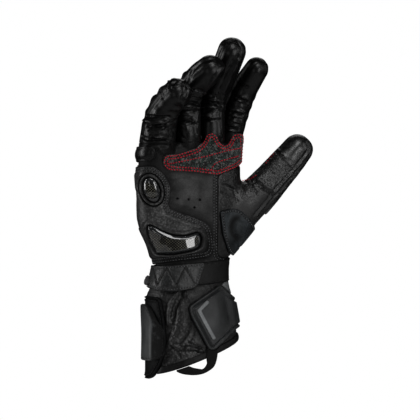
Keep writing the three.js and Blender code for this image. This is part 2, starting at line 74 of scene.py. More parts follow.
# Stations of the cuff and hand, from below the hem up: the middle, the half width, and the depth
# towards the palm and towards the back
HAND = table(
    "z x y half_width palm back",
    (-34, 2.4, 0, 40.8, 33, 33),
    (-8, 2.4, 0, 40.4, 33, 33),
    (22, 2, 0, 39.6, 32, 32),
    (50, -0.8, 0, 37.6, 30.5, 30.5),
    (66, -1, 0, 34, 26, 26),
    (80, 1, 0, 31.5, 24.5, 25),
    (93, 0.8, 0, 33.7, 24.5, 24.5),
    (105, 0.4, 0, 38, 24.5, 24),
    (120, 0.2, 0, 45.4, 25, 23),
    (140, 0.5, 0, 47, 25, 22),
    (157, -0.6, -1.5, 47.2, 23.5, 20),
    (170, -1.8, -4, 46.6, 21, 17),
    (180, -1.8, -8, 45.6, 17, 14),
    (187, -1.4, -11, 44, 13, 11),
    (190, -1.2, -12, 39, 9, 7),
)
STATION = "x y z half_width half_depth"
FINGERS = {
    "index_finger": table(
        STATION,
        (36.2, -1, 158, 11, 12),
        (35.8, -5, 192, 10.6, 12),
        (39.4, -15, 222, 10.8, 12.2),
        (42.9, -26, 241, 10.6, 11.2),
        (45.9, -38.4, 254.4, 9.8, 10.2),
    ),
    "middle_finger": table(
        STATION,
        (14.8, -2, 158, 11, 12),
        (14, -13, 192, 11.2, 12.2),
        (12.2, -19, 226, 11.6, 12.4),
        (14.9, -34, 248.6, 11.6, 12),
        (16.6, -48, 269, 11.8, 11.8),
    ),
    "ring_finger": table(
        STATION,
        (-10.6, -3, 155, 11, 12),
        (-10.2, -15, 190, 11, 12),
        (-14.6, -24.4, 228, 11.4, 12.4),
        (-12.6, -37.6, 242.6, 11.6, 12.2),
        (-6.6, -53, 253, 12, 11.8),
    ),
    "little_finger": table(
        STATION,
        (-35, -4, 150, 14, 14),
        (-38.8, -13, 184, 15.6, 15.2),
        (-39.8, -24.4, 212, 13.8, 13.6),
        (-38.4, -37.3, 225.4, 12.2, 12.2),
        (-36, -47.6, 232.4, 11.8, 11.8),
    ),
    "thumb": table(
        STATION,
        (19.4, -3, 103, 19.8, 19),
        (35, -6, 120, 19.4, 17.5),
        (51.4, -10, 136.6, 17.3, 15.4),
        (69.2, -14, 153.6, 16, 14),
        (85, -18, 171.3, 14.7, 13.4),
        (96.4, -21, 185, 13.2, 12.8),
    ),
}
SIDE_OF = {"thumb": (0.7, 0, -0.7)}  # the way across it, where that isn't +X
# How far along each finger its middle joint lies
KNUCKLES = {"index_finger": 68, "middle_finger": 76, "ring_finger": 80, "little_finger": 74}

# Outlines of the sewn-on pieces, as u to the right and v up in the side view
THUMB_REGION = [
    (25, 90), (25, 162), (45, 170), (60, 186), (90, 225), (150, 225), (150, 60), (60, 84),
]
GRIP_PATCH = [
    (-22.5, 178), (-10.6, 179.5), (7, 185), (12, 190.5), (14.5, 197), (19, 199), (23.2, 197),
    (26, 190.5), (29.6, 187.4), (33.6, 188.6), (36, 194), (38.5, 197.8), (47.5, 198.4),
    (49, 176), (43, 169.4), (30.3, 163.8), (24.6, 161.7), (3.5, 164.4), (-19, 165.5), (-23, 170),
]
HEEL_PAD = [
    (-60, 168.5), (-31.7, 169), (-21.8, 162.5), (-16.5, 152), (-17, 141.5), (-19.4, 133.5),
    (-10.6, 129.6), (7, 124), (15.5, 119.5), (20, 113), (21.8, 99.4), (20.5, 92.5), (15, 89.2),
    (-60, 80),
]
HEEL_SLIDER = [
    (-36.6, 118.4), (-31.7, 117), (-24.6, 112.7), (-14.1, 108.9), (-3.5, 108.5), (7.7, 112),
    (10.8, 106.4), (9.2, 98.5), (3.5, 95.8), (-14.1, 92.3), (-29.6, 92.6), (-35.9, 104.3),
    (-38, 113.4),
]
THUMB_PATCH = [
    (26.8, 130.3), (38.7, 132.6), (46, 130.3), (58, 117), (58, 96), (46, 84), (34.5, 93.4),
    (29.6, 107.8),
]
SIDE_GUARD = [(-60, 170.5), (-42, 170.5), (-38, 150), (-38, 118), (-60, 116.5)]
KNUCKLE_PAD = [(-60, 186), (-36, 186.6), (-30.5, 184), (-28.5, 178), (-32.5, 173), (-60, 172.5)]
THUMB_GUARD = [
    (57, 136), (72, 154), (86, 174), (96, 182), (120, 178), (120, 150), (96, 112), (76, 118),
]
STRAP_TAB = [
    (-60, 86), (-33, 83.6), (11.2, 86.4), (13.4, 84), (7.6, 65.6), (3.6, 62.8), (-14, 60.4),
    (-26.4, 61), (-60, 70),
]
STRAP_END = [(-60, 75), (-36.8, 74.6), (-35.2, 71), (-36.2, 65.4), (-60, 64)]
CUFF_OVERLAP = [
    (-60, 57), (-25.5, 55), (-22, 36), (-20.4, 14.9), (-24.6, -2.7), (-31.7, -15), (-60, -24),
]
CUFF_GUARD = [
    (-60, 48.5), (-38, 48.5), (-29, 32), (-23.4, 27.5), (-22.8, 7), (-25, 2), (-34, -0.6),
    (-60, -0.6),
]
FLAP_BASE = [(20, 60), (26.8, 63.9), (33, 71.5), (60, 71.5), (60, 40), (30, 40)]
CUFF_FLAP = [
    (-1, 46.8), (3.6, 50.4), (14.1, 57.8), (26.5, 66.2), (39.5, 54.4), (60, 50), (60, 20),
    (43.6, 28.6), (22, 8.6), (17, 8.8), (1, 39),
]
FLAP_STRIPE = [(15, 52.4), (17, 50.4), (9.7, 43.4), (22.4, 19.2), (20, 18), (6.3, 43.8)]
DISC = {"u": -33.2, "v": 148.6, "half_width": 7.2, "half_height": 11.2, "tilt_deg": 19}

TURN = math.radians(SIDE_VIEW_DEG)
RIGHT = np.array([math.cos(TURN), -math.sin(TURN), 0])
TOWARDS = np.array([-math.sin(TURN), -math.cos(TURN), 0])


# Curves and profiles


def smoothstep(x, start, end):
    """A soft step from 0 at the start to 1 at the end, which may be the lower of the two."""
    t = np.clip((x - start) / (end - start), 0, 1)
    return t * t * (3 - 2 * t)


def bump(x):
    """1 at 0, falling softly to 0 at 1 and -1."""
    return np.where(np.abs(x) < 1, (1 - np.clip(x * x, 0, 1)) ** 2, 0.0)


def between(rows, column, t):
    """A column's value on a smooth curve through the rows, at t rows from the first."""
    values = np.array([row[column] for row in rows], float)
    i = np.clip(np.floor(t).astype(int), 0, len(rows) - 2)
    a, b, c, d = (values[np.clip(i + k, 0, len(rows) - 1)] for k in (-1, 0, 1, 2))
    s = t - i
    out, into = (c - a) / 2, (d - b) / 2
    return b + s * (out + s * (3 * (c - b) - 2 * out - into + s * (2 * (b - c) + out + into)))


def rounded(angle):
    """Cosine and sine, pulled out towards a square."""
    pull = lambda value: np.sign(value) * np.abs(value) ** (2 / SQUARENESS)
    return pull(np.cos(angle)), pull(np.sin(angle))


def round_corners(points, radius=3.0, steps=5):
    """A closed outline with its corners rounded."""
    at = np.array(points, float)
    out = []
    for i, corner in enumerate(at):
        ends = []
        for other in (at[i - 1], at[(i + 1) % len(at)]):
            way = other - corner
            length = np.linalg.norm(way)
            ends.append(corner + way / length * min(radius, length * 0.48))
        for t in np.linspace(0, 1, steps):
            out.append((1 - t) ** 2 * ends[0] + 2 * t * (1 - t) * corner + t * t * ends[1])
    return np.array(out)


def ellipse_outline(grow=0.0, count=48):
    angle = np.linspace(0, 2 * np.pi, count, endpoint=False)
    x = (DISC["half_width"] + grow) * np.cos(angle)
    y = (DISC["half_height"] + grow) * np.sin(angle)
    tilt = math.radians(DISC["tilt_deg"])
    u = DISC["u"] + x * math.cos(tilt) - y * math.sin(tilt)
    v = DISC["v"] + x * math.sin(tilt) + y * math.cos(tilt)
    return np.stack([u, v], 1)


# Points seen from the side view: u to the right, v up, depth towards the eye.


def seen(points):
    return points @ RIGHT, points[:, 2], points @ TOWARDS


def line_distance(u, v, line, closed=False):
    """Distance to a line of points, and whether its nearest stretch is passed on its right side."""
    line = np.array(line, float)
    ends = np.vstack([line, line[:1]]) if closed else line
    best = np.full(len(u), 1e9)
    right = np.zeros(len(u), bool)
    for a, b in zip(ends[:-1], ends[1:]):
        way = b - a
        length = max(np.linalg.norm(way), 1e-9)
        t = np.clip(((u - a[0]) * way[0] + (v - a[1]) * way[1]) / length**2, 0, 1)
        off = np.hypot(u - a[0] - t * way[0], v - a[1] - t * way[1])
        on_right = (u - a[0]) * way[1] - (v - a[1]) * way[0] > 0
        right = np.where(off < best, on_right, right)
        best = np.minimum(best, off)
    return best, right


def from_line(points, line):
    """Distance to a line of the side view."""
    u, v, _ = seen(points)
    return line_distance(u, v, line)[0]


def inside_distance(points, outline):
    """Distance to an outline in the side view, plus inside and minus outside."""
    u, v, _ = seen(points)
    best, _ = line_distance(u, v, outline, closed=True)
    inside = np.zeros(len(u), bool)
    ends = np.vstack([outline, outline[:1]])
    for a, b in zip(ends[:-1], ends[1:]):
        if a[1] == b[1]:
            continue
        crosses = (a[1] > v) != (b[1] > v)
        inside ^= crosses & (u < (b[0] - a[0]) * (v - a[1]) / (b[1] - a[1]) + a[0])
    return np.where(inside, best, -best)


# Skins: points p, smooth normals n, triangles t, and named values f at the points.


def make_skin(points, triangles):
    return {"p": points, "t": triangles, "n": point_normals(points, triangles), "f": {}}


def point_normals(points, triangles):
    a, b, c = (points[triangles[:, k]] for k in range(3))
    face = np.cross(b - a, c - a)
    total = np.zeros_like(points)
    for k in range(3):
        for axis in range(3):
            total[:, axis] += np.bincount(triangles[:, k], face[:, axis], len(points))
    return total / np.maximum(np.linalg.norm(total, axis=1, keepdims=True), 1e-12)


def edges_of(triangles):
    pairs = np.sort(np.vstack([triangles[:, [0, 1]], triangles[:, [1, 2]], triangles[:, [2, 0]]]))
    return np.unique(pairs, axis=0)


def relax(values, edges, count, amount=0.5, weights=None):
    """Moves each point's value towards the mean of its neighbours, a number of times."""
    n = len(values)
    degree = np.maximum(np.bincount(edges.ravel(), minlength=n), 1)
    values = values.reshape(n, -1).copy()
    share = amount if weights is None else amount * weights[:, None]
    for _ in range(count):
        total = np.empty_like(values)
        for axis in range(values.shape[1]):
            column = values[:, axis]
            total[:, axis] = np.bincount(edges[:, 0], column[edges[:, 1]], n)
            total[:, axis] += np.bincount(edges[:, 1], column[edges[:, 0]], n)
        values += share * (total / degree[:, None] - values)
    return values


HELD_OFF = 0.02  # how far a point's value is held off a level, so that no sliver is cut


def split(skin, name, level=0.0, keep=False):
    """Adds points where a named value crosses a level; keep drops what lies below it."""
    value = skin["f"][name] - level
    value = np.where(np.abs(value) < HELD_OFF, HELD_OFF * np.where(value < 0, -1, 1), value)
    above = value > 0
    tris = skin["t"]
    mixed = above[tris].any(1) & ~above[tris].all(1)
    rows = tris[mixed]
    side = above[rows]
    lone_is_above = side.sum(1) == 1
    odd = np.where(lone_is_above, side.argmax(1), (~side).argmax(1))
    index = np.arange(len(rows))
    o, a, b = rows[index, odd], rows[index, (odd + 1) % 3], rows[index, (odd + 2) % 3]
    pairs = np.sort(np.vstack([np.stack([o, a], 1), np.stack([o, b], 1)]), axis=1)
    unique, where = np.unique(pairs, axis=0, return_inverse=True)
    where = where.ravel()
    first, second = unique[:, 0], unique[:, 1]
    t = (value[first] / (value[first] - value[second]))[:, None]
    count = len(skin["p"])
    m1, m2 = count + where[: len(rows)], count + where[len(rows) :]
    mix = lambda x: x[first] * (1 - t) + x[second] * t
    normals = mix(skin["n"])
    normals /= np.maximum(np.linalg.norm(normals, axis=1, keepdims=True), 1e-12)
    lone = np.stack([o, m1, m2], 1)
    rest = np.vstack([np.stack([m1, a, b], 1), np.stack([m1, b, m2], 1)])
    if keep:
        whole = tris[above[tris].all(1)]
        parts = [whole, lone[lone_is_above], rest[np.tile(~lone_is_above, 2)]]
    else:
        parts = [tris[~mixed], lone, rest]
    made = {
        "p": np.vstack([skin["p"], mix(skin["p"])]),
        "n": np.vstack([skin["n"], normals]),
        "t": np.vstack(parts),
        "f": {k: np.append(x, mix(x[:, None])[:, 0]) for k, x in skin["f"].items()},
    }
    made["f"][name][count:] = level
    return prune(made) if keep else made


def prune(skin):
    used = np.unique(skin["t"])
    new = np.full(len(skin["p"]), -1)
    new[used] = np.arange(len(used))
    return {
        "p": skin["p"][used],
        "n": skin["n"][used],
        "t": new[skin["t"]],
        "f": {k: x[used] for k, x in skin["f"].items()},
    }


def largest_part(skin):
    """Keeps only the largest connected part."""
    edges = edges_of(skin["t"])
    label = np.arange(len(skin["p"]))
    while True:
        low = np.minimum(label[edges[:, 0]], label[edges[:, 1]])
        before = label.copy()
        np.minimum.at(label, edges[:, 0], low)
        np.minimum.at(label, edges[:, 1], low)
        label = label[label]
        if (label == before).all():
            break
    names, counts = np.unique(label[skin["t"][:, 0]], return_counts=True)
    best = names[counts.argmax()]
    return prune({**skin, "t": skin["t"][label[skin["t"][:, 0]] == best]})


def cut(skin, fields):
    """The part of a skin where every field is above 0; edge is the least of them."""
    skin = {**skin, "f": {**skin["f"], "edge": np.minimum.reduce(fields)}}
    return largest_part(split(skin, "edge", keep=True))


def fine(skin, name, *levels):
    """A skin with rows of points along levels of a named value."""
    for level in levels:
        skin = split(skin, name, level)
    return skin


def mesh_object(name, points, faces, material, smooth=True, sharp_deg=SHARP_DEG):
    """A Blender mesh from points in millimetres and rows of 3 or 4 corners."""
    faces = [np.asarray(f) for f in (faces if isinstance(faces, list) else [faces]) if len(f)]
    mesh = bpy.data.meshes.new(name)
    loops = np.concatenate([f.ravel() for f in faces]).astype(np.int32)
    sizes = np.concatenate([np.full(len(f), f.shape[1]) for f in faces])
    mesh.vertices.add(len(points))
    mesh.vertices.foreach_set("co", (np.asarray(points, np.float32) * MM).ravel())
    mesh.loops.add(len(loops))
    mesh.loops.foreach_set("vertex_index", loops)
    mesh.polygons.add(len(sizes))
    starts = np.concatenate([[0], np.cumsum(sizes)[:-1]]).astype(np.int32)
    mesh.polygons.foreach_set("loop_start", starts)
    mesh.update(calc_edges=True)
    mesh.validate()
    if smooth:
        mesh.shade_smooth()
        mesh.set_sharp_from_angle(angle=math.radians(sharp_deg))
    mesh.materials.append(material)
    piece = bpy.data.objects.new(name, mesh)
    bpy.context.collection.objects.link(piece)
    return piece


def closed_sheet(skin, top, bottom):
    """Points and faces of a closed sheet between two heights along a skin's normals."""
    n = len(skin["p"])
    top = np.broadcast_to(top, n)[:, None]
    bottom = np.broadcast_to(bottom, n)[:, None]
    points = np.vstack([skin["p"] + skin["n"] * top, skin["p"] + skin["n"] * bottom])
    tris = skin["t"]
    directed = np.vstack([tris[:, [0, 1]], tris[:, [1, 2]], tris[:, [2, 0]]])
    key = directed[:, 0] * n + directed[:, 1]
    back = directed[:, 1] * n + directed[:, 0]
    rim = directed[~np.isin(key, back)]
    walls = np.stack([rim[:, 1], rim[:, 0], rim[:, 0] + n, rim[:, 1] + n], 1)
    return points, [np.vstack([tris, tris[:, ::-1] + n]), walls]


# The plain form, at a finer spacing than the frame's


def grid_triangles(rings, sides):
    """Triangles of a tube of rings, all the same way round, facing outwards."""
    r, i = np.meshgrid(np.arange(rings - 1), np.arange(sides), indexing="ij")
    a, b = (r * sides + i).ravel(), (r * sides + (i + 1) % sides).ravel()
    return np.vstack([np.stack([a, b, b + sides], 1), np.stack([a, b + sides, a + sides], 1)])


def tube(rings):
    """A closed mesh through rings of points."""
    count, sides, _ = rings.shape
    points = np.vstack([rings.reshape(-1, 3), rings[0].mean(0), rings[-1].mean(0)])
    i = np.arange(sides)
    j = (i + 1) % sides
    first, last = np.full(sides, len(points) - 2), np.full(sides, len(points) - 1)
    top = (count - 1) * sides
    ends = np.vstack([np.stack([first, j, i], 1), np.stack([last, top + i, top + j], 1)])
    return points, np.vstack([grid_triangles(count, sides), ends])


# Gathers round the cuff, by their angle from +X towards the back
GATHERS = table(
    "angle_deg height half_angle_deg",
    (-118, 2.2, 13),
    (-98, -1.6, 10),
    (-80, 2, 12),
    (-60, -1.6, 10),
    (70, 1.4, 14),
    (105, 1.4, 14),
)
GATHER_Z, GATHER_REACH = 44, 26


def trunk(sides=120, steps=170):
    t = np.linspace(0, len(HAND) - 1, steps)[:, None]
    at = {column: between(HAND, column, t) for column in HAND[0]}
    angle = np.linspace(0, 2 * np.pi, sides, endpoint=False)[None, :]
    degrees = np.degrees(np.where(angle > np.pi, angle - 2 * np.pi, angle))
    out = np.zeros((steps, sides))
    for fold in GATHERS:
        off = (degrees - fold["angle_deg"] + 540) % 360 - 180
        strength = bump((at["z"] - GATHER_Z) / GATHER_REACH)
        out = out + strength * fold["height"] * bump(off / fold["half_angle_deg"])
    c, s = rounded(angle)
    depth = np.where(s < 0, at["palm"], at["back"]) + out
    x = at["x"] + c * (at["half_width"] + out)
    return tube(np.stack([x, at["y"] + s * depth, at["z"] + 0 * out], 2))


def centre_line(name, samples=260):
    """Points, frames, sizes and distance along a finger's or the thumb's middle."""
    rows = FINGERS[name]
    last = len(rows) - 1
    spot = lambda t: np.stack([between(rows, axis, t) for axis in "xyz"], 1)
    t = np.linspace(0, last, samples)
    middle = spot(t)
    heading = spot(np.minimum(t + 0.05, last)) - spot(t - 0.05)
    heading /= np.linalg.norm(heading, axis=1, keepdims=True)
    side = np.array(SIDE_OF.get(name, (1, 0, 0)), float)
    across = side - heading * (heading @ side)[:, None]
    across /= np.linalg.norm(across, axis=1, keepdims=True)
    step = np.linalg.norm(np.diff(middle, axis=0), axis=1)
    return {
        "middle": middle,
        "heading": heading,
        "across": across,
        "outward": np.cross(heading, across),
        "width": between(rows, "half_width", t),
        "depth": between(rows, "half_depth", t),
        "along": np.concatenate([[0], np.cumsum(step)]),
    }


LINES = {name: centre_line(name) for name in FINGERS}
TIP_RINGS, TIP_FULLNESS = 12, 0.85


def finger_rings(name, spacing, sides, top=None):
    """Rings of a finger from its root to its round tip, and each ring's distance along it."""
    line = LINES[name]
    length = line["along"][-1]
    if top is not None:
        length = np.interp(top, line["middle"][:, 2], line["along"])
    along = np.linspace(0, length, max(int(length / spacing), 8))
    at = lambda column: np.interp(along, line["along"], column)
    pick = lambda key: np.stack([at(column) for column in line[key].T], 1)
    size = lambda key: at(line[key])[:, None, None]
    around = np.linspace(0, 2 * np.pi, sides, endpoint=False)
    c, s = (value[None, :, None] for value in rounded(around))
    across, outward = pick("across")[:, None], pick("outward")[:, None]
    rings = pick("middle")[:, None] + across * c * size("width") + outward * s * size("depth")
    if top is not None:
        return rings, along
    tip, end = line["middle"][-1], line["heading"][-1]
    width, reach = line["width"][-1], line["depth"][-1]
    ring = line["across"][-1] * c[0] * width + line["outward"][-1] * s[0] * reach
    turns = np.linspace(0, np.pi / 2, TIP_RINGS + 1)[1:-1]
    caps = [tip + end * reach * math.sin(turn) + ring * math.cos(turn) ** TIP_FULLNESS for turn in turns]
    far = length + reach * np.sin(turns)
    return np.concatenate([rings, np.array(caps)]), np.concatenate([along, far])


def joined(parts):
    starts = np.cumsum([0] + [len(p) for p, _ in parts])
    triangles = [t + start for (_, t), start in zip(parts, starts)]
    return np.vstack([p for p, _ in parts]), np.vstack(triangles)


def remeshed(points, triangles, spacing):
    """One even skin round overlapping closed meshes."""
    mesh = bpy.data.meshes.new("form")
    mesh.from_pydata(points.tolist(), [], triangles.tolist())
    shape = bpy.data.objects.new("form", mesh)
    bpy.context.collection.objects.link(shape)
    change = shape.modifiers.new("even", "REMESH")
    change.mode = "VOXEL"
    change.voxel_size = spacing
    held = bpy.context.evaluated_depsgraph_get()
    made = bpy.data.meshes.new_from_object(shape.evaluated_get(held))
    made.calc_loop_triangles()
    p = np.empty(len(made.vertices) * 3, np.float32)
    made.vertices.foreach_get("co", p)
    t = np.empty(len(made.loop_triangles) * 3, np.int32)
    made.loop_triangles.foreach_get("vertices", t)
    bpy.data.objects.remove(shape)
    bpy.data.meshes.remove(mesh)
    bpy.data.meshes.remove(made)
    return p.reshape(-1, 3).astype(float), t.reshape(-1, 3).astype(int)


SMOOTHING, SWELLING = 0.5, -0.52


def even_out(points, triangles, count):
    """Smooths steps away without shrinking the form."""
    edges = edges_of(triangles)
    for _ in range(count):
        for amount in (SMOOTHING, SWELLING):
            points = relax(points, edges, 1, amount)
    return points


STUB_TOP_Z = 212  # the fingers' roots reach up to here inside the hand's skin
CROTCH, CROTCH_REACH = [42, -10, 150], 38  # the fork between thumb and palm is softer


def hand_skin():
    parts = [trunk(), tube(finger_rings("thumb", FORM_SPACING, THUMB_SIDES)[0])]
    for name in KNUCKLES:
        parts.append(tube(finger_rings(name, FORM_SPACING, STUB_SIDES, STUB_TOP_Z)[0]))
    points, triangles = remeshed(*joined(parts), VOXEL)
    points = even_out(points, triangles, 6)
    edges = edges_of(triangles)
    crotch = bump(np.linalg.norm(points - CROTCH, axis=1) / CROTCH_REACH)
    points = relax(points, edges, 40, 0.5, crotch)
    skin = make_skin(points, triangles)
    soft = relax(skin["n"], edges, 3)
    skin["n"] = soft / np.linalg.norm(soft, axis=1, keepdims=True)
    return skin


def tube_distance(points, name):
    """Signed distance to a finger's surface, roughly."""
    line = LINES[name]
    best = np.full(len(points), 1e9)
    for k in range(0, len(line["middle"]), 4):
        off = points - line["middle"][k]
        c, s = off @ line["across"][k], off @ line["outward"][k]
        h = np.abs(off @ line["heading"][k])
        w, d = line["width"][k], line["depth"][k]
        ratio = (np.abs(c / w) ** SQUARENESS + np.abs(s / d) ** SQUARENESS) ** (1 / SQUARENESS)
        out = (ratio - 1) * min(w, d)
        best = np.minimum(best, np.where(h < 1.2, out, np.hypot(out, h)))
    return best


# Folds, ribs and creases


LATTICE = 64


def noise(points, size, seed):
    """Smooth noise from -1 to 1, with features of a size."""
    lattice = np.random.default_rng(seed).uniform(-1, 1, (LATTICE, LATTICE, LATTICE))
    at = points / size + 1000
    cell = np.floor(at).astype(int)
    f = at - cell
    f = f * f * (3 - 2 * f)
    total = np.zeros(len(points))
    for dx in (0, 1):
        for dy in (0, 1):
            for dz in (0, 1):
                share = np.abs([1 - dx, 1 - dy, 1 - dz] - f)
                weight = share[:, 0] * share[:, 1] * share[:, 2]
                corner = (cell + [dx, dy, dz]) % LATTICE
                total += weight * lattice[corner[:, 0], corner[:, 1], corner[:, 2]]
    return total


def crumple(points, size, seed):
    """Soft pillows between sharp creases, wide ones and narrower ones."""
    pillows = lambda width, key: np.abs(noise(points, width, key)) * 2 - 0.6
    return 0.7 * pillows(size, seed) + 0.3 * pillows(size * 0.45, seed + 1)


def eased(x, places, values):
    """A curve through values at places, level at each."""
    k = np.clip(np.searchsorted(places, x) - 1, 0, len(places) - 2)
    places, values = np.array(places, float), np.array(values, float)
    t = smoothstep(x, places[k], places[k + 1])
    return values[k] + (values[k + 1] - values[k]) * t


RIBS = table(
    "from_knuckle back palm",
    (-26, 0, 0),
    (-18, 1.5, 0.2),
    (-13, -0.4, -0.9),
    (-8, 1.6, 0.5),
    (-3, -0.4, -1.0),
    (2.5, 1.6, 0.6),
    (8, -0.4, -0.9),
    (13, 1.4, 0.5),
    (19, 0, -0.6),
    (26, 0.3, 0.2),
    (34, 0, 0),
)

THUMB_TIP_SEAM = [(75.4, 182.9), (82.7, 175.4), (90.8, 166.6)]
THUMB_SIDE_SEAM = [
    (108, 183.6), (103.2, 176), (92.8, 163.8), (88.2, 158.4), (76, 144.8), (66.2, 132.4), (58.6, 123.2),
]


def moved(line, step):
    """A line of the side view moved up and to the left."""
    return [(u - step, v + step) for u, v in line]


